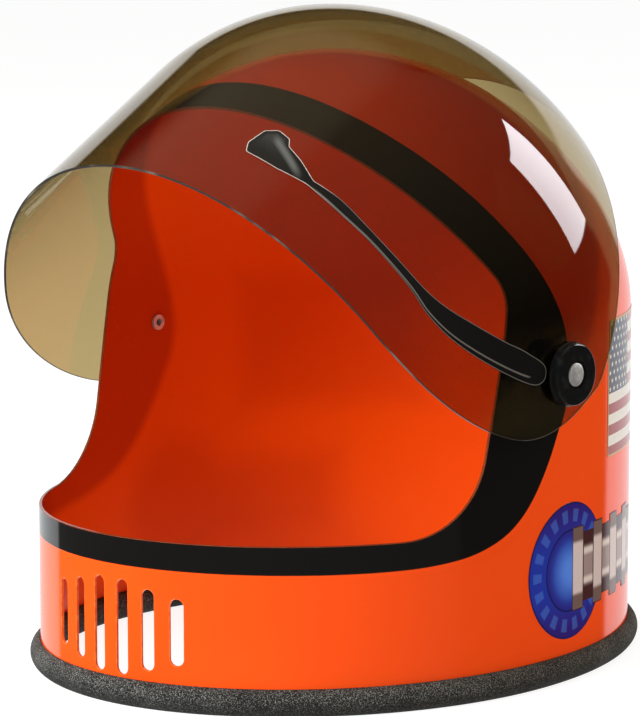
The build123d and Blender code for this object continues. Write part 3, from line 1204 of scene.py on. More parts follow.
@dataclass(frozen=True)
class MicrophonePrint(Finish):
    """Black print of a boom microphone with a pale outline and drawn highlights.

    Runs along the boom are shares of its length, and widths are millimetres.
    """

    black: Colour = (0.0045, 0.0042, 0.004)
    line: Colour = (0.125, 0.115, 0.105)
    bright_line: Colour = (0.5, 0.42, 0.36)
    sheen: Colour = (0.1, 0.098, 0.09)
    outline_start: Run = (0.02, 0.1)
    outline_end: Run = (0.34, 0.42)
    bright_start: Run = (0.7, 0.82)
    stripe_width: Run = (0.28, 0.45)
    stripe_start: Run = (0.028, 0.04)
    stripe_end: Run = (0.74, 0.8)
    stroke_slope: float = 2.2
    stroke_along: float = 0.93
    stroke_down: float = 0.64
    stroke_width: float = 0.075
    stroke_start: Run = (0.82, 0.87)
    stroke_end: Run = (0.935, 0.965)
    soft_inset: Run = (0.8, 3.2)
    soft_start: Run = (0.86, 0.94)
    soft_down: Run = (0.85, 0.5)
    soft_share: float = 0.22
    gloss: Gloss = Gloss(0.14, 0.05, 0.0001, 20.0)

    def surface(self, tree: Tree) -> Socket:
        """Shader of the print.

        Args:
            tree: Tree to build in.

        Returns:
            The shader's socket.
        """
        edge, along, down = (tree.value_of(name) for name in ("edge", "along", "head_down"))
        # Thin stripe along the lower side of the boom
        off_stripe = tree.size(tree.minus(edge, tree.value_of("stripe_inset")))
        below = tree.span(tree.value_of("below_spine"), -0.1, 0.1)
        thin = tree.times(tree.span(off_stripe, *reversed(self.stripe_width)), below)
        stripe = tree.times(thin, tree.between(along, self.stripe_start, self.stripe_end))
        # Drawn highlight: a curved stroke over the head, and a dimmer one on the neck
        drop = tree.times(tree.minus(self.stroke_along, along), self.stroke_slope)
        off_stroke = tree.size(tree.minus(tree.minus(down, drop), self.stroke_down))
        stroke = tree.span(off_stroke, self.stroke_width, 0.0)
        stroke = tree.times(stroke, tree.between(along, self.stroke_start, self.stroke_end))
        soft = tree.times(tree.span(edge, *self.soft_inset), tree.span(along, *self.soft_start))
        soft = tree.times(soft, tree.span(down, *self.soft_down))
        colour = tree.blend(tree.times(soft, self.soft_share), self.black, self.sheen)
        colour = tree.blend(stroke, colour, self.sheen)
        colour = tree.blend(stripe, colour, self.line)
        outline = tree.blend(tree.span(along, *self.bright_start), self.line, self.bright_line)
        colour = tree.blend(tree.between(edge, self.outline_start, self.outline_end), colour, outline)
        return self.plastic(tree, colour, self.gloss)


@dataclass(frozen=True)
class HosePrint(Finish):
    """Print of a round blue collar and a ribbed silver hose, in millimetres.

    The hose shades like a turned tube: its flank is the share of its half
    width away from the middle.
    """

    collar_y: float = 16.0
    collar_z: float = 48.4
    collar_radius: float = 30.0
    hose_start: float = 18.0
    hose_end: float = 94.0
    rib_pitch: float = 18.8
    rib_length: float = 9.4
    ribs: int = 4
    neck_half: float = 15.5
    rib_half: float = 18.5
    disc_fade: Run = (2.0, 17.0)
    disc_rim: Run = (11.0, 17.5)
    disc_rim_share: float = 0.6
    groove_start: Run = (17.2, 17.6)
    groove_end: Run = (18.0, 18.4)
    collar_fade: Run = (6.0, 30.0)
    marks: int = 18
    mark_start: Run = (21.0, 21.8)
    mark_end: Run = (26.6, 27.4)
    mark_turn: Run = (-0.1, 0.25)
    mark_share: float = 0.32
    outline_start: Run = (29.1, 29.5)
    rib_flank: Run = (0.56, 0.68)
    neck_flank: Run = (0.42, 0.66)
    streak_width: Run = (0.02, 0.16)
    streak_share: float = 0.8
    seam_width: Run = (0.012, 0.035)
    side_line: Run = (0.965, 0.985)
    light_lean: float = 0.01
    navy: Colour = (0.008, 0.012, 0.09)
    blue: Colour = (0.016, 0.035, 0.36)
    light_blue: Colour = (0.09, 0.23, 0.78)
    violet: Colour = (0.03, 0.012, 0.17)
    silver: Colour = (0.64, 0.53, 0.53)
    neck: Colour = (0.33, 0.24, 0.24)
    shadow: Colour = (0.16, 0.1, 0.09)
    deep: Colour = (0.05, 0.016, 0.016)
    glint: Colour = (0.8, 0.7, 0.68)
    gloss: Gloss = Gloss(0.12, 0.05, 0.0001, 14.0)

    def kept(self, places: Points) -> np.ndarray:
        """Distance of places inside the print's outline.

        Args:
            places: Places in millimetres, one a row.

        Returns:
            One distance a place.
        """
        along, rise = places[:, 1], np.abs(places[:, 2] - self.collar_z)
        collar = self.collar_radius - np.hypot(along - self.collar_y, places[:, 2] - self.collar_z)
        half = (self.hose_end - self.hose_start) / 2
        neck = np.minimum(self.neck_half - rise, half - np.abs(along - self.hose_start - half))
        ribs = np.full(len(places), OUT_OF_REACH)
        for number in range(self.ribs):
            middle = self.hose_start + number * self.rib_pitch + self.rib_length / 2
            rib = np.minimum(self.rib_half - rise, self.rib_length / 2 - np.abs(along - middle))
            ribs = np.maximum(ribs, rib)
        return np.maximum(np.maximum(collar, neck), ribs)

    def _collar(self, tree: Tree, dy: Socket, dz: Socket) -> Socket:
        """Colour of the round collar.

        Args:
            tree: Tree to build in.
            dy: Way along the helmet from the collar's middle.
            dz: Way up from it.

        Returns:
            The colour.
        """
        away = tree.length(dy, dz)
        turn = tree.math("ARCTAN2", dz, dy)
        rim = tree.blend(tree.span(tree.size(dz), *self.collar_fade), self.blue, self.violet)
        disc = tree.blend(tree.span(away, *self.disc_fade), self.light_blue, self.blue)
        disc_rim = tree.times(tree.span(away, *self.disc_rim), self.disc_rim_share)
        disc = tree.blend(disc_rim, disc, self.violet)
        colour = tree.blend(tree.span(away, *self.groove_start), disc, self.navy)
        colour = tree.blend(tree.span(away, *self.groove_end), colour, rim)
        spoke = tree.math("COSINE", tree.times(turn, float(self.marks)))
        ring = tree.between(away, self.mark_start, self.mark_end)
        mark = tree.times(ring, tree.span(spoke, *self.mark_turn))
        colour = tree.blend(tree.times(mark, self.mark_share), colour, self.light_blue)
        return tree.blend(tree.span(away, *self.outline_start), colour, self.navy)

    def surface(self, tree: Tree) -> Socket:
        """Shader of the print.

        Args:
            tree: Tree to build in.

        Returns:
            The shader's socket.
        """
        y, z = tree.part("Y", MM), tree.part("Z", MM)
        dz = tree.minus(z, self.collar_z)
        collar = self._collar(tree, tree.minus(y, self.collar_y), dz)
        run = tree.minus(y, self.hose_start)
        spot = tree.math("FRACT", tree.over(run, self.rib_pitch))
        rib_share = self.rib_length / self.rib_pitch
        on_rib = tree.math("LESS_THAN", spot, rib_share)
        half = tree.plus(self.neck_half, tree.times(on_rib, self.rib_half - self.neck_half))
        across = tree.over(dz, half)
        flank = tree.size(tree.minus(across, self.light_lean))
        rib = tree.blend(tree.span(flank, *self.rib_flank), self.silver, self.shadow)
        neck = tree.blend(tree.span(flank, *self.neck_flank), self.neck, self.deep)
        off_streak = tree.size(tree.minus(flank, self.neck_flank[0]))
        streak = tree.times(tree.span(off_streak, *reversed(self.streak_width)), self.streak_share)
        hose = tree.blend(on_rib, tree.blend(streak, neck, self.glint), rib)
        seam = tree.least(tree.size(tree.minus(spot, rib_share)), spot)
        seam = tree.least(seam, tree.minus(1.0, spot))
        hose = tree.blend(tree.span(seam, *reversed(self.seam_width)), hose, self.deep)
        edge = tree.size(across)
        hose = tree.blend(tree.span(edge, *self.side_line), hose, self.deep)
        on_hose = tree.times(tree.span(run, -0.1, 0.1), tree.span(edge, 1.004, 0.996))
        return self.plastic(tree, tree.blend(on_hose, collar, hose), self.gloss)


@dataclass(frozen=True)
class PatchPrint(Finish):
    """Print of a striped patch with a starred corner and a thin gold border, in millimetres."""

    front: float = 51.5
    foot: float = 92.6
    length: float = 74.0
    height: float = 61.0
    corner_radius: float = 1.0
    border: Run = (0.8, 1.0)
    stripes: int = 13
    corner_stripes: int = 7
    corner_length: float = 30.0
    star_columns: int = 6
    star_rows: int = 9
    star_points: int = 5
    star_depth: float = 0.32
    star_edge: Run = (0.75, 0.95)
    red: Colour = (0.30, 0.018, 0.02)
    white: Colour = (0.72, 0.69, 0.66)
    navy: Colour = (0.016, 0.02, 0.045)
    gold: Colour = (0.5, 0.3, 0.08)
    gloss: Gloss = Gloss(0.11, 0.05, 0.0001, 14.0)

    def kept(self, places: Points) -> np.ndarray:
        """Distance of places inside the patch's rounded outline.

        Args:
            places: Places in millimetres, one a row.

        Returns:
            One distance a place.
        """
        radius = self.corner_radius
        y = np.abs(places[:, 1] - self.front - self.length / 2) - self.length / 2 + radius
        z = np.abs(places[:, 2] - self.foot - self.height / 2) - self.height / 2 + radius
        outside = np.hypot(np.maximum(y, 0), np.maximum(z, 0))
        return radius - outside - np.minimum(np.maximum(y, z), 0)

    def _star(self, tree: Tree, across: Socket, up: Socket, corner_height: float) -> Socket:
        """Mask of the stars, in rows that are shifted by half a pitch in turn.

        Args:
            tree: Tree to build in.
            across: Way from the patch's front end.
            up: Way up from the foot of the starred corner.
            corner_height: Height of the starred corner.

        Returns:
            The mask.
        """
        pitch_y, pitch_z = self.corner_length / self.star_columns, corner_height / self.star_rows
        row = tree.over(up, pitch_z)
        shift = tree.times(tree.math("MODULO", tree.math("FLOOR", row), 2.0), 0.5)
        column = tree.plus(tree.over(across, pitch_y), shift)
        sy, sz = (
            tree.times(tree.minus(tree.math("FRACT", cell), 0.5), pitch)
            for cell, pitch in ((column, pitch_y), (row, pitch_z))
        )
        turn = tree.times(tree.math("ARCTAN2", sy, sz), float(self.star_points))
        points = tree.times(tree.math("COSINE", turn), self.star_depth)
        return tree.span(tree.minus(tree.length(sy, sz), points), *reversed(self.star_edge))

    def surface(self, tree: Tree) -> Socket:
        """Shader of the print.

        Args:
            tree: Tree to build in.

        Returns:
            The shader's socket.
        """
        across = tree.minus(tree.part("Y", MM), self.front)
        up = tree.minus(tree.part("Z", MM), self.foot)
        stripe = self.height / self.stripes
        wave = tree.math("FRACT", tree.over(up, 2 * stripe))
        colour = tree.blend(tree.between(wave, (0.0, 0.02), (0.5, 0.52)), self.white, self.red)
        corner_height = self.corner_stripes * stripe
        corner_foot = self.height - corner_height
        beside = tree.math("LESS_THAN", across, self.corner_length)
        in_corner = tree.times(beside, tree.math("GREATER_THAN", up, corner_foot))
        star = self._star(tree, across, tree.minus(up, corner_foot), corner_height)
        colour = tree.blend(in_corner, colour, tree.blend(star, self.navy, self.white))
        edge_y = tree.least(across, tree.minus(self.length, across))
        edge_z = tree.least(up, tree.minus(self.height, up))
        border = tree.span(tree.least(edge_y, edge_z), *reversed(self.border))
        return self.plastic(tree, tree.blend(border, colour, self.gold), self.gloss)


# ---------------------------------------------------------------- pieces


HOSE_PRINT = HosePrint("hose_ink")
PATCH_PRINT = PatchPrint("patch_ink")


@dataclass
class Shell:
    """Orange shell with its face opening, vents and painted band."""

    face: DomeFace = DomeFace(
        half_width=120.0,
        front_depth=140.0,
        back_depth=154.0,
        foot=4.7,
        spring=152.0,
        rise=118.7,
        crown_share=0.496,
        centre_y=WIDEST_Y,
    )
    opening: FaceOpening = FaceOpening()
    vents: VentRow = VentRow()
    rivet_hole: float = 2.58
    edge_radius: float = 0.35
    inset: float = 0.02
    vent_reach: float = 50.0
    hole_reach: float = 5.0
    hole_margins: Run = (0.06, 0.13)
    dome_rows: int = 64
    hose_shade_half: float = 18.0

    def kept(self, places: Points) -> np.ndarray:
        """Distance of places inside the sheet, negative where it is cut away."""
        opening = -outline_distance(places[:, 1:3], self.opening.outline())
        return np.minimum.reduce((opening, self.vents.distance(places), off_pivot(places, self.rivet_hole)))

    def band(self, places: Points) -> np.ndarray:
        """Distance of places inside the painted band's outer edge."""
        edge = smooth_path(BAND_EDGE, 6)
        return outline_distance(places[:, 1:3], np.vstack((edge, [BAND_CORNER])))

    def prints(self, places: Points) -> np.ndarray:
        """Distance of places inside the prints on the sides.

        Args:
            places: Places in millimetres, one a row.

        Returns:
            One distance a place.
        """
        y, z = places[:, 1], places[:, 2]
        hose, patch = HOSE_PRINT, PATCH_PRINT
        collar = hose.collar_radius - np.hypot(y - hose.collar_y, z - hose.collar_z)
        middle, half = (hose.hose_start + hose.hose_end) / 2, (hose.hose_end - hose.hose_start) / 2
        tube = np.minimum(self.hose_shade_half - np.abs(z - hose.collar_z), half - np.abs(y - middle))
        rise, run = patch.height / 2, patch.length / 2
        panel = np.minimum(rise - np.abs(z - patch.foot - rise), run - np.abs(y - patch.front - run))
        return np.maximum(np.maximum(collar, tube), panel)

    def _grid(self) -> tuple[np.ndarray, np.ndarray]:
        """Grid lines of the sheet, closer at the vents and the rivet holes.

        Returns:
            Plan angles, and shares up the wall and the dome.
        """
        front = math.asin(self.vent_reach / self.face.half_width)
        hole = self.hole_reach / self.face.back_depth
        left, right = self.hole_margins
        around = (
            (-hole, hole + left, 0.011),
            (hole + left, math.pi - hole - right, 0.028),
            (math.pi - hole - right, math.pi + hole, 0.011),
            (math.pi + hole, 1.5 * math.pi - front, 0.026),
            (1.5 * math.pi - front, 1.5 * math.pi + front, 0.0098),
            (1.5 * math.pi + front, 2 * math.pi - hole, 0.026),
        )
        wall = self.face.spring - self.face.foot
        vents, hole_rows = (5.5, 52.0), (127.0, 137.5)
        rows = (
            (0.0, vents[0], 3.0),
            (*vents, 1.15),
            (vents[1], hole_rows[0], 3.0),
            (*hole_rows, 1.0),
            (hole_rows[1], wall, 3.0),
        )
        return sheet_grid(self.face, around, rows, self.dome_rows)

    def build(self) -> bpy.types.Object:
        """Make the shell and put it in the frame.

        Returns:
            The shell's object.
        """
        us, vs = self._grid()
        sheet = TrimmedSheet(self.face, us, vs, self.kept, SHELL_WALL, self.edge_radius, -self.inset)
        made = sheet.build()
        made.attributes = {"band": self.band(made.vertices), "print": self.prints(made.vertices)}
        finishes = (ShellOutside("shell_outside"), ShellInside("shell_inside"), CutEdge("shell_cut_edge"))
        obj = made.to_object("shell_sheet", [finish.material() for finish in finishes])
        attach(obj, Body.HELMET.value)
        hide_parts("shell")
        return obj


@dataclass
class Visor:
    """Smoke-brown visor, made closed and turned up to the pose that is shown."""

    face: DomeFace = DomeFace(
        half_width=127.2,
        front_depth=151.4,
        back_depth=151.4,
        foot=50.0,
        spring=149.4,
        rise=132.0,
        crown_share=0.532,
        centre_y=1.3,
        pad_x=127.2,
    )
    outline: VisorOutline = VisorOutline()
    rivet_hole: float = 2.58
    edge_radius: float = 0.3
    inset: float = 0.02
    hole_reach: float = 6.0
    hole_margin: float = 0.02
    dome_rows: int = 72

    def kept(self, places: Points) -> np.ndarray:
        """Distance of places inside the sheet, negative where it is cut away."""
        side = outline_distance(places[:, 1:3], self.outline.outline())
        return np.minimum(side, off_pivot(places, self.rivet_hole))

    def _grid(self) -> tuple[np.ndarray, np.ndarray]:
        """Grid lines of the sheet, closer at the rivet holes.

        Returns:
            Plan angles, and shares up the wall and the dome.
        """
        hole = self.hole_reach / self.face.back_depth
        fine = hole + self.hole_margin
        around = (
            (-hole, fine, 0.009),
            (fine, math.pi - fine, 0.03),
            (math.pi - fine, math.pi + hole, 0.009),
            (math.pi + hole, 2 * math.pi - hole, 0.02),
        )
        wall = self.face.spring - self.face.foot
        lip, lobe, hole_rows = 7.0, 40.0, (82.0, 92.0)
        rows = (
            (0.0, lip, 7.0),
            (lip, lobe, 2.0),
            (lobe, hole_rows[0], 2.6),
            (*hole_rows, 1.0),
            (hole_rows[1], wall, 2.0),
        )
        return sheet_grid(self.face, around, rows, self.dome_rows)

    def build(self) -> bpy.types.Object:
        """Make the visor and put it in the frame.

        Returns:
            The visor's object.
        """
        us, vs = self._grid()
        sheet = TrimmedSheet(self.face, us, vs, self.kept, VISOR_WALL, self.edge_radius, -self.inset)
        clear, edge = SmokeSheet("smoke_clear_sheet").material(), SmokeEdge("smoke_cut_edge").material()
        obj = sheet.build().turned_up().to_object("visor_sheet", [clear, clear, edge])
        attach(obj, Body.VISOR.value)
        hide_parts("visor")
        return obj


@dataclass(frozen=True)
class SideArea:
    """A side print's names, and the part of the shell's side that holds it."""

    piece: str
    node: str
    slot: str
    across: Run
    heights: Run


@dataclass
class Prints:
    """Printed decals: the microphone on the visor, and a hose and a patch on each side."""

    shell: Shell
    visor: Visor
    microphone: Microphone = Microphone()
    hose_area: SideArea = SideArea("hose_print", "hose_decal", "blue_decal", (-16.0, 96.0), (16.0, 81.0))
    patch_area: SideArea = SideArea(
        "patch_print", "patch_decal", "patch_decal", (49.5, 127.5), (90.5, 156.0)
    )
    lift: float = 0.06
    film: float = 0.12
    edge_radius: float = 0.04
    washer_room: float = 14.4
    side_steps: Run = (0.0075, 1.3)
    dome_reach: Run = (0.08, 0.008)

    def _film_on(self, face: DomeFace, us: np.ndarray, vs: np.ndarray, kept: Distance) -> SheetMesh:
        """Thin printed film just off a face, from its grid lines and the distance inside its outline."""
        raised = self.lift + self.film
        return TrimmedSheet(face, us, vs, kept, self.film, self.edge_radius, raised, False, 1).build()

    def _microphone(self) -> bpy.types.Object:
        """Make the microphone's print.

        Returns:
            The print's object.
        """
        drawn = self.microphone
        outline = drawn.outline()
        facing = math.radians(drawn.view_angle)

        def kept(places: Points) -> np.ndarray:
            """Distance inside the microphone on its own side, clear of the washer.

            Args:
                places: Places in millimetres, one a row.

            Returns:
                One distance a place.
            """
            side = places[:, 0] * math.sin(facing) - (places[:, 1] - PIVOT_Y) * math.cos(facing)
            flat = outline_distance(drawn.axes(places), outline)
            clear = np.minimum(flat, off_pivot(places, self.washer_room))
            return np.where(side > 0, np.where(places[:, 0] > 0, clear, flat), OUT_OF_REACH)

        wall = self.visor.face.spring - self.visor.face.foot
        low, high, step = (height / wall for height in drawn.rows)
        made = self._film_on(self.visor.face, stops(drawn.turns), stops((low, high, step)), kept)
        flat = drawn.axes(made.vertices)
        along = (drawn.end_reach - flat[:, 0]) / drawn.length
        down = (PIVOT_Z - drawn.end_drop - flat[:, 1]) / drawn.fall
        spine = np.interp(along, *zip(*drawn.spine, strict=True))
        made.attributes = {
            "edge": outline_distance(flat, outline),
            "along": along,
            "below_spine": (down - spine) * drawn.fall,
            "stripe_inset": np.interp(along, *zip(*drawn.stripe_inset, strict=True)),
            "head_down": down,
        }
        obj = made.turned_up().to_object("microphone_print", [MicrophonePrint("microphone_ink").material()])
        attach(obj, Body.VISOR.value)
        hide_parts("microphone_decal")
        return obj

    def _side_print(
        self, side: Side, area: SideArea, kept: Distance, material: bpy.types.Material
    ) -> bpy.types.Object:
        """Make a print on one side of the shell.

        Args:
            side: Side that it is on.
            area: Its names and its place.
            kept: Distance inside its outline.
            material: Its finish.

        Returns:
            The print's object.
        """
        face = self.shell.face
        turns = []
        for y in area.across:
            depth = face.back_depth if y > WIDEST_Y else face.front_depth
            turns.append(math.asin((y - WIDEST_Y) / depth))
        if side is Side.RIGHT:
            turns = [math.pi - turn for turn in reversed(turns)]
        step, rise = self.side_steps
        wall = face.spring - face.foot
        low, high = (height - face.foot for height in area.heights)
        vs = stops((low, min(high, wall), rise)) / wall
        if high > wall:
            vs = np.concatenate((vs, 1 + stops((0.0, *self.dome_reach))[1:]))
        made = self._film_on(face, stops((*turns, step)), vs, kept)
        obj = made.to_object(f"{area.piece}_{side.word}", [material])
        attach(obj, Body.HELMET.value)
        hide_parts(f"{area.node}_{side.word}")
        return obj

    def build(self) -> list[bpy.types.Object]:
        """Make every print.

        Returns:
            The prints' objects.
        """
        inks = (self.hose_area, HOSE_PRINT), (self.patch_area, PATCH_PRINT)
        drawn = [(area, ink.kept, ink.material()) for area, ink in inks]
        made = [self._microphone()]
        for side in Side:
            made += [self._side_print(side, *inked) for inked in drawn]
        return made


@dataclass
class FoamTrim:
    """Soft round foam tube pushed onto the shell's lower edge, swept by Geometry Nodes."""

    radius: float = 6.22
    centre_height: float = 5.8
    inset: float = 1.6
    joint_gap: float = 0.6
    slot_clearance: float = 0.1
    slot_foot: float = 4.7
    arc_steps: int = 26
    flat_steps: int = 6
    stations: int = 1100
    pebble: float = 0.12
    pebble_scale: float = 230.0
    pebble_start: Run = (0.0002, 0.0015)
    seed: int = 7

    def _arc(self, first: float, last: float) -> list[tuple[float, float]]:
        """Points of the tube's round face between two angles."""
        angles = (first + (last - first) * k / self.arc_steps for k in range(self.arc_steps + 1))
        return [(self.radius * math.cos(a), self.centre_height + self.radius * math.sin(a)) for a in angles]

    def profile(self) -> Points:
        """Closed section of the tube, with its flat foot and the slit that grips the shell.

        Returns:
            Its points, as outward reach and height.
        """
        slot_out = self.inset + self.slot_clearance
        slot_in = self.inset - SHELL_WALL - self.slot_clearance
        foot_angle = math.asin(self.centre_height / self.radius)
        foot_half = self.radius * math.cos(foot_angle)
        start, end = (math.atan2(math.sqrt(self.radius**2 - x**2), x) for x in (slot_out, slot_in))
        points = self._arc(start, -foot_angle)
        for k in range(1, self.flat_steps):
            points.append((foot_half - 2 * foot_half * k / self.flat_steps, 0.0))
        points += self._arc(math.pi + foot_angle, end)
        points += [(slot_in, self.slot_foot), (slot_out, self.slot_foot)]
        return np.array(points)

    def _profile_object(self) -> bpy.types.Object:
        """Section as a helper curve object, for the node tree to sweep.

        Returns:
            The helper object.
        """
        data = bpy.data.curves.new("foam_section", "CURVE")
        data.dimensions = "2D"
        line = data.splines.new("POLY")
        outline = self.profile()
        line.points.add(len(outline) - 1)
        # The sweep's upright axis points down along this path
        for point, (x, z) in zip(line.points, outline, strict=True):
            point.co = (x * MM, -z * MM, 0.0, 1.0)
        line.use_cyclic_u = True
        return add_object("foam_section", data)

    def _path(self, tree: Tree, given: dict[str, Socket]) -> Socket:
        """Upright curve round the oval, open at the middle of the back.

        Args:
            tree: Tree to build in.
            given: The tree's inputs by name.

        Returns:
            The curve.
        """
        line = tree.node("GeometryNodeMeshLine", {"Count": given["Stations"]})
        count = tree.minus(given["Stations"], 1.0)
        share = tree.over(tree.node("GeometryNodeInputIndex").outputs[0], count)
        # The ends stop half a gap short of the middle of the back
        short = tree.over(tree.times(given["Joint Gap"], 0.5), given["Half Width"])
        first = tree.plus(math.pi / 2, short)
        sweep = tree.minus(2 * math.pi, tree.times(short, 2.0))
        angle = tree.plus(first, tree.times(share, sweep))
        sine = tree.math("SINE", angle)
        behind = tree.math("GREATER_THAN", sine, 0.0)
        extra = tree.minus(given["Back Depth"], given["Front Depth"])
        depth = tree.plus(given["Front Depth"], tree.times(behind, extra))
        x = tree.times(tree.math("COSINE", angle), given["Half Width"])
        y = tree.plus(tree.times(sine, depth), given["Centre Y"])
        place = tree.node("ShaderNodeCombineXYZ", {"X": x, "Y": y})
        inputs = {"Geometry": line.outputs[0], "Position": place.outputs[0]}
        moved = tree.node("GeometryNodeSetPosition", inputs)
        path = tree.node("GeometryNodeMeshToCurve", {"Mesh": moved.outputs[0]})
        upright = tree.node("GeometryNodeSetCurveNormal", {"Curve": path.outputs[0]})
        upright.mode = "Z_UP"
        return upright.outputs[0]

    def _pebbles(self, tree: Tree, given: dict[str, Socket]) -> Socket:
        """Way that each point of the skin is pushed in, none at the flat foot.

        Args:
            tree: Tree to build in.
            given: The tree's inputs by name.

        Returns:
            The offset.
        """
        at = tree.node("GeometryNodeInputPosition").outputs[0]
        lumps = tree.node(
            "ShaderNodeTexNoise",
            {"Vector": at, "W": given["Seed"], "Scale": self.pebble_scale, "Detail": 2.0},
            noise_dimensions="4D",
        )
        height = tree.node("ShaderNodeSeparateXYZ", {0: at}).outputs["Z"]
        free = tree.span(height, *self.pebble_start, smooth=False)
        inward = tree.times(tree.times(lumps.outputs["Fac"], -1.0), given["Pebble"])
        inward = tree.times(inward, free)
        outward = tree.node("GeometryNodeInputNormal").outputs[0]
        push = tree.node("ShaderNodeVectorMath", {0: outward, "Scale": inward}, operation="SCALE")
        return push.outputs[0]

    def _tree(self, section: bpy.types.Object, material: bpy.types.Material) -> bpy.types.NodeTree:
        """Geometry Nodes tree that sweeps the section round the oval.

        Args:
            section: Helper object with the section.
            material: Finish of the foam.

        Returns:
            The tree.
        """
        group = bpy.data.node_groups.new("foam_sweep", "GeometryNodeTree")
        group.is_modifier = True
        group.interface.new_socket("Geometry", in_out="INPUT", socket_type="NodeSocketGeometry")
        for label in self._inputs():
            kind = "NodeSocketInt" if label == "Stations" else "NodeSocketFloat"
            group.interface.new_socket(label, in_out="INPUT", socket_type=kind)
        group.interface.new_socket("Geometry", in_out="OUTPUT", socket_type="NodeSocketGeometry")
        tree = Tree(group)
        given = {socket.name: socket for socket in tree.node("NodeGroupInput").outputs}
        info = tree.node("GeometryNodeObjectInfo", {"Object": section})
        path = self._path(tree, given)
        inputs = {"Curve": path, "Profile Curve": info.outputs["Geometry"], "Fill Caps": True}
        swept = tree.node("GeometryNodeCurveToMesh", inputs)
        inputs = {"Geometry": swept.outputs[0], "Offset": self._pebbles(tree, given)}
        lumpy = tree.node("GeometryNodeSetPosition", inputs)
        inputs = {"Geometry": lumpy.outputs[0], "Shade Smooth": True}
        smooth = tree.node("GeometryNodeSetShadeSmooth", inputs)
        real = tree.node("GeometryNodeRealizeInstances", {"Geometry": smooth.outputs[0]})
        dressed = tree.node("GeometryNodeSetMaterial", {"Geometry": real.outputs[0], "Material": material})
        tree.node("NodeGroupOutput", {"Geometry": dressed.outputs[0]})
        return group

    def _inputs(self) -> dict[str, float]:
        """Values of the sweep's named inputs, with lengths in metres.

        Returns:
            The values by name, in the order of the tree's sockets.
        """
        face = Shell().face
        return {
            "Half Width": (face.half_width - self.inset) * MM,
            "Front Depth": (face.front_depth - self.inset) * MM,
            "Back Depth": (face.back_depth - self.inset) * MM,
            "Centre Y": WIDEST_Y * MM,
            "Joint Gap": self.joint_gap * MM,
            "Stations": self.stations,
            "Pebble": self.pebble * MM,
            "Seed": float(self.seed),
        }

    def build(self) -> bpy.types.Object:
        """Make the trim and put it in the frame.

        Returns:
            The trim's object.
        """
        material = FoamFinish("pebbled_foam").material()
        section = self._profile_object()
        carrier = add_object("foam_carrier", bpy.data.meshes.new("foam_carrier"))
        modifier = carrier.modifiers.new("sweep", "NODES")
        modifier.node_group = self._tree(section, material)
        values = self._inputs()
        for item in modifier.node_group.interface.items_tree:
            if item.in_out == "INPUT" and item.name in values:
                modifier[item.identifier] = values[item.name]
        obj = mesh_of(carrier, "foam_tube")
        for helper in (carrier, section):
            bpy.data.objects.remove(helper)
        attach(obj, Body.HELMET.value)
        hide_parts("foam_trim")
        return obj


def mesh_of(carrier: bpy.types.Object, name: str) -> bpy.types.Object:
    """Turn an object with a Geometry Nodes modifier into a plain mesh object.

    Args:
        carrier: Object with the modifier.
        name: Name of the result.

    Returns:
        The new object.
    """
    bpy.context.view_layer.update()
    evaluated = carrier.evaluated_get(bpy.context.evaluated_depsgraph_get())
    mesh = bpy.data.meshes.new_from_object(evaluated)
    mesh.name = name
    return add_object(name, mesh)


@dataclass
class PivotStacks:
    """Spacers, washers, knobs and rivets, which keep their CAD shapes."""

    black_nodes: tuple[str, ...] = ("pivot_spacer", "pivot_washer", "pivot_knob")
    metal_nodes: tuple[str, ...] = ("pivot_rivet",)

    def dress(self) -> int:
        """Give each node its finish.

        Returns:
            The number of nodes dressed.
        """
        black = BlackPlastic("black_moulded_plastic").material()
        metal = RivetMetal("satin_rivet_metal").material()
        dressed = 0
        for names, material in ((self.black_nodes, black), (self.metal_nodes, metal)):
            for name in names:
                for side in Side:
                    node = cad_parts[f"{name}_{side.word}"]
                    for slot in node.material_slots:
                        slot.material = material
                    dressed += 1
        return dressed


# ---------------------------------------------------------------- studio


def way(azimuth: float, elevation: float) -> Vector:
    """Unit vector of a direction, in degrees from the front towards +X and up."""
    a, e = math.radians(azimuth), math.radians(elevation)
    return Vector((math.sin(a) * math.cos(e), -math.cos(a) * math.cos(e), math.sin(e)))


def aim(obj: bpy.types.Object, target: Triple, back: Vector, distance: float) -> None:
    """Put a camera or a light at a distance from its target, facing it.

    Args:
        obj: Camera or light.
        target: Place that it faces.
        back: Unit vector from the target to it.
        distance: Its distance.
    """
    obj.location = Vector(target) + back * distance
    obj.rotation_mode = "QUATERNION"
    obj.rotation_quaternion = (-back).to_track_quat("-Z", "Y")


@dataclass(frozen=True)
class StudioCamera:
    """Camera at the photograph's viewing angle, for a frame of 640 by 716."""

    azimuth: float = 41.9
    elevation: float = 8.7
    distance: float = 1.7
    target: Triple = (0.0, -0.007, 0.12)
    focal_pixels: float = 3800.0
    middle: tuple[float, float] = (330.9, 385.7)
    frame_size: tuple[int, int] = (640, 716)
    sensor: float = 36.0

    def build(self) -> bpy.types.Object:
        """Make the scene's camera.

        Returns:
            The camera's object.
        """
        width, height = self.frame_size
        data = bpy.data.cameras.new("studio_camera")
        data.sensor_width = self.sensor
        data.lens = self.focal_pixels / height * self.sensor
        data.shift_x = (width / 2 - self.middle[0]) / height
        data.shift_y = (self.middle[1] - height / 2) / height
        data.clip_start, data.clip_end = 0.1, 50.0
        camera = add_object("studio_camera", data)
        aim(camera, self.target, way(self.azimuth, self.elevation), self.distance)
        bpy.context.scene.camera = camera
        return camera


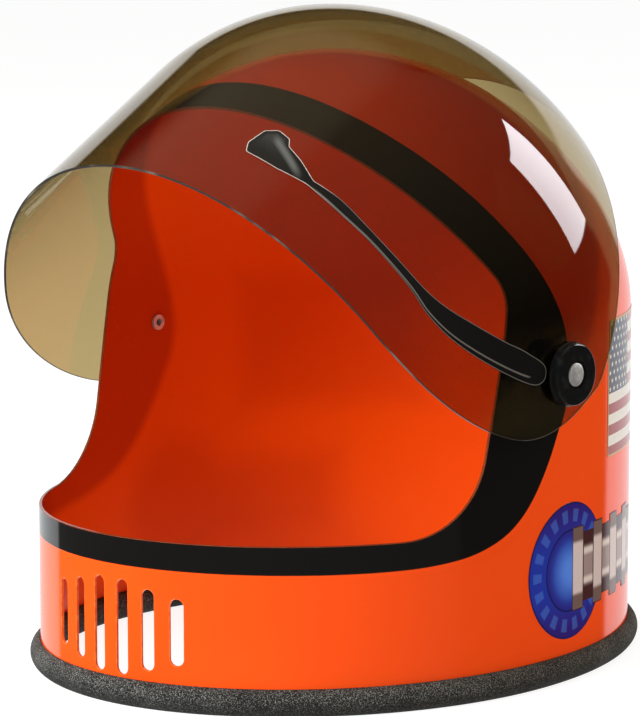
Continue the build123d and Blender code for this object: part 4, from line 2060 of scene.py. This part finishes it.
@dataclass(frozen=True)
class SoftLight:
    """A rectangular soft light, aimed at the helmet and not mirrored in it."""

    name: str
    azimuth: float
    elevation: float
    width: float
    height: float
    power: float
    distance: float
    tone: Colour = (1.0, 1.0, 1.0)
    target: Triple = (0.0, 0.0, 0.15)

    def build(self) -> bpy.types.Object:
        """Make the light.

        Returns:
            The light's object.
        """
        data = bpy.data.lights.new(self.name, "AREA")
        data.shape = "RECTANGLE"
        data.size, data.size_y = self.width, self.height
        data.energy = self.power
        data.color = self.tone
        light = add_object(self.name, data)
        aim(light, self.target, way(self.azimuth, self.elevation), self.distance)
        light.visible_glossy = False
        light.visible_transmission = False
        light.visible_camera = False
        return light


@dataclass(frozen=True)
class PaleFloor(Finish):
    """Pale floor that glows, but hardly where the helmet mirrors it."""

    light: Colour = (0.28, 0.28, 0.28)
    dark: Colour = (0.26, 0.26, 0.26)
    glow: float = 0.88
    mirrored_share: float = 0.05

    def surface(self, tree: Tree) -> Socket:
        """Shader of the floor.

        Args:
            tree: Tree to build in.

        Returns:
            The shader's socket.
        """
        bounces = tree.node("ShaderNodeLightPath").outputs["Glossy Depth"]
        lost = tree.times(tree.math("GREATER_THAN", bounces, 0.5), self.glow * (1 - self.mirrored_share))
        inputs = {
            "Base Color": tree.blend(tree.noise(tree.place(), 3.0), self.dark, self.light),
            "Roughness": 0.9,
            "Specular IOR Level": 0.0,
            "Emission Color": (1.0, 1.0, 1.0, 1.0),
            "Emission Strength": tree.minus(self.glow, lost),
        }
        return tree.principled(inputs)


@dataclass(frozen=True)
class Studio:
    """Pale floor, soft lights, and the surroundings that the gloss mirrors.

    Turns and rises are in degrees: the azimuth from the front towards +X, and
    the elevation.
    """

    floor_reach: float = 12.0
    dark_level: float = 0.02
    front_level: float = 0.06
    front_rise: Run = (1.0, -1.0)
    dark_start: Run = (106.0, 109.0)
    dark_end: Run = (176.5, 178.5)
    sweep_level: float = 0.95
    sweep_turn: float = -136.0
    sweep_half: Run = (45.0, 48.5)
    sweep_top: Run = (17.5, 21.0)
    pinch: float = 5.5
    pinch_top: Run = (8.0, 17.5)
    pinch_foot: Run = (-4.0, 2.0)
    ceiling_level: float = 0.38
    ceiling_way: Triple = (-0.238, 0.042, 0.970)
    ceiling_reach: Run = (0.80, 0.95)
    veil_level: float = 0.19
    veil_start: Run = (86.0, 104.0)
    veil_end: Run = (172.0, 178.0)
    veil_rise: Run = (0.0, 67.0)
    softbox_level: float = 8.0
    softbox_rise: Run = (36.0, 11.0)
    softbox_share: Run = (1.4, 0.95)
    softbox_edge: float = 0.3
    softbox_past_glass: float = 0.06
    softbox_corners: tuple[Run, ...] = ((144.6, 34.4), (165.3, 37.0), (165.9, 13.2), (149.0, 11.0))
    ambient: float = 0.23
    ambient_lean: float = 0.16
    lean_turn: float = -60.0
    lean_rise: float = 0.35
    ambient_tone: Colour = (1.0, 0.99, 0.97)
    room_tone: Colour = (0.96, 0.98, 1.0)
    ceiling_tone: Colour = (1.0, 0.88, 0.66)
    softbox_tone: Colour = (0.95, 0.95, 1.0)
    lights: tuple[SoftLight, ...] = (
        SoftLight("front_key", -9.0, 18.0, 0.7, 0.45, 48.0, 2.3, tone=(0.92, 1.04, 1.12)),
        SoftLight("left_fill", -75.0, 12.0, 1.0, 0.8, 20.0, 2.3),
        SoftLight("front_fill", 0.0, 58.0, 1.6, 1.6, 8.0, 2.4),
        SoftLight("side_fill", 140.0, 24.0, 0.9, 0.9, 16.0, 2.2, tone=(1.0, 0.72, 0.35)),
        SoftLight("top_fill", -25.0, 76.0, 1.5, 1.5, 32.0, 2.2),
    )

    def _floor(self) -> bpy.types.Object:
        """Make the pale floor.

        Returns:
            The floor's object.
        """
        reach = self.floor_reach
        mesh = bpy.data.meshes.new("floor")
        corners = [(-reach, -reach, 0), (reach, -reach, 0), (reach, reach, 0), (-reach, reach, 0)]
        mesh.from_pydata(corners, [], [(0, 1, 2, 3)])
        mesh.materials.append(PaleFloor("pale_floor").material())
        floor = add_object("floor", mesh)
        floor.visible_glossy = False
        return floor

    def _towards(self, tree: Tree, ray: Socket, way_to: Vector) -> Socket:
        """Cosine between a ray and a direction."""
        node = tree.node("ShaderNodeVectorMath", {0: ray, 1: way_to}, operation="DOT_PRODUCT")
        return node.outputs["Value"]

    def _softbox(self, tree: Tree, turn: Socket, rise: Socket) -> Socket:
        """Level of the softbox in a direction.

        Args:
            tree: Tree of the surroundings.
            turn: Azimuth of the direction.
            rise: Its elevation.

        Returns:
            The level, 0 outside the box.
        """
        level = tree.span(rise, *self.softbox_rise, *self.softbox_share)
        level = tree.times(level, self.softbox_level)
        corners, blur = self.softbox_corners, self.softbox_edge
        for (a0, e0), (a1, e1) in zip(corners, corners[1:] + corners[:1], strict=True):
            run, climb = a1 - a0, e1 - e0
            size = math.hypot(run, climb)
            # Distance to the right of the edge, as the corners run clockwise
            across = tree.times(tree.minus(turn, a0), climb / size)
            along = tree.times(tree.minus(rise, e0), -run / size)
            level = tree.times(level, tree.span(tree.plus(across, along), -blur, blur))
        return level

    def _sweep(self, tree: Tree, turn: Socket, rise: Socket) -> Socket:
        """Level of the white sweep behind, the grey in front and the dark side.

        Args:
            tree: Tree of the surroundings.
            turn: Azimuth of the direction.
            rise: Its elevation.

        Returns:
            The level.
        """
        off = tree.math("WRAP", tree.minus(turn, self.sweep_turn), 180.0, -180.0)
        pinch = tree.span(rise, *reversed(self.pinch_top), 0.0, self.pinch)
        pinch = tree.times(pinch, tree.span(rise, *self.pinch_foot))
        behind = tree.span(tree.plus(tree.size(off), pinch), *reversed(self.sweep_half))
        sweep = tree.times(behind, tree.span(rise, *reversed(self.sweep_top)))
        dark_side = tree.between(turn, self.dark_start, self.dark_end)
        front = tree.times(tree.span(rise, *self.front_rise), tree.minus(1.0, dark_side))
        level = tree.plus(self.dark_level, tree.times(front, self.front_level))
        return tree.most(level, tree.times(sweep, self.sweep_level))

    def _ceiling(self, tree: Tree, ray: Socket, turn: Socket, rise: Socket) -> Socket:
        """Level of the lit ceiling, and of the wearer's left side, which is paler higher up.

        Args:
            tree: Tree of the surroundings.
            ray: The direction.
            turn: Its azimuth.
            rise: Its elevation.

        Returns:
            The level.
        """
        near = self._towards(tree, ray, Vector(self.ceiling_way))
        ceiling = tree.span(near, *self.ceiling_reach, 0.0, self.ceiling_level)
        veil = tree.span(rise, *self.veil_rise, 0.0, self.veil_level, smooth=False)
        veil = tree.times(veil, tree.between(turn, self.veil_start, self.veil_end))
        return tree.most(ceiling, veil)

    def _world(self) -> bpy.types.World:
        """Make the surroundings: white to look at, even light on the helmet, and a room in its gloss.

        Returns:
            The world.
        """
        world = bpy.data.worlds.new("studio_sweep")
        world.use_nodes = True
        world.node_tree.nodes.clear()
        tree = Tree(world.node_tree)
        ray = tree.node("ShaderNodeTexCoord").outputs["Generated"]
        parts = tree.node("ShaderNodeSeparateXYZ", {0: ray})
        x, y, z = (parts.outputs[axis] for axis in "XYZ")
        degrees = 180 / math.pi
        turn = tree.times(tree.math("ARCTAN2", x, tree.times(y, -1.0)), degrees)
        rise = tree.times(tree.math("ARCSINE", z), degrees)
        path = tree.node("ShaderNodeLightPath")
        # The softbox counts in full only for what mirrors it outside the visor
        glass = path.outputs["Transmission Depth"]
        past_glass = tree.span(glass, 0.5, 1.0, 1.0, self.softbox_past_glass, smooth=False)
        box = tree.times(self._softbox(tree, turn, rise), past_glass)
        ceiling = self._ceiling(tree, ray, turn, rise)
        level = tree.plus(tree.plus(self._sweep(tree, turn, rise), box), ceiling)
        warm = tree.math("GREATER_THAN", ceiling, 0.01)
        tone = tree.blend(warm, self.room_tone, self.ceiling_tone)
        tone = tree.blend(tree.span(box, 0.2, 1.0), tone, self.softbox_tone)
        mirrored = tree.node("ShaderNodeBackground", {"Color": tone, "Strength": level})
        toward = (way(self.lean_turn, 0.0) + Vector((0.0, 0.0, self.lean_rise))).normalized()
        lean = tree.times(self._towards(tree, ray, toward), self.ambient_lean)
        inputs = {"Color": (*self.ambient_tone, 1.0), "Strength": tree.plus(self.ambient, lean)}
        ambient = tree.node("ShaderNodeBackground", inputs)
        seen = tree.node("ShaderNodeBackground", {"Color": (1.0, 1.0, 1.0, 1.0), "Strength": 1.0})
        scattered = tree.math("GREATER_THAN", path.outputs["Diffuse Depth"], 0.5)
        bounced = tree.plus(path.outputs["Glossy Depth"], path.outputs["Diffuse Depth"])
        straight = tree.math("LESS_THAN", bounced, 0.5)
        inputs = {0: scattered, 1: mirrored.outputs[0], 2: ambient.outputs[0]}
        shader = tree.node("ShaderNodeMixShader", inputs)
        inputs = {0: straight, 1: shader.outputs[0], 2: seen.outputs[0]}
        shader = tree.node("ShaderNodeMixShader", inputs)
        tree.node("ShaderNodeOutputWorld", {"Surface": shader.outputs[0]})
        bpy.context.scene.world = world
        return world

    def build(self) -> None:
        """Make the floor, the surroundings and the lights."""
        self._floor()
        self._world()
        for light in self.lights:
            light.build()
        scene = bpy.context.scene
        scene.view_settings.view_transform = "Standard"
        scene.view_settings.look = "None"
        scene.cycles.max_bounces = 16
        scene.cycles.transmission_bounces = 14
        scene.cycles.transparent_max_bounces = 16
        scene.cycles.glossy_bounces = 6
        scene.cycles.diffuse_bounces = 5
        scene.cycles.use_denoising = True


def main() -> None:
    """Build every piece in order and report it."""
    logging.basicConfig(level=logging.INFO, format="%(name)s: %(message)s")
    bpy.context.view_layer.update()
    StudioCamera().build()
    Studio().build()
    shell, visor = Shell(), Visor()
    pieces = [shell.build(), visor.build(), *Prints(shell, visor).build(), FoamTrim().build()]
    for piece in pieces:
        triangles = sum(len(p.vertices) - 2 for p in piece.data.polygons)
        LOG.info("%s: %d triangles", piece.name, triangles)
    LOG.info("dressed %d CAD nodes", PivotStacks().dress())


if __name__ == "__main__":
    main()
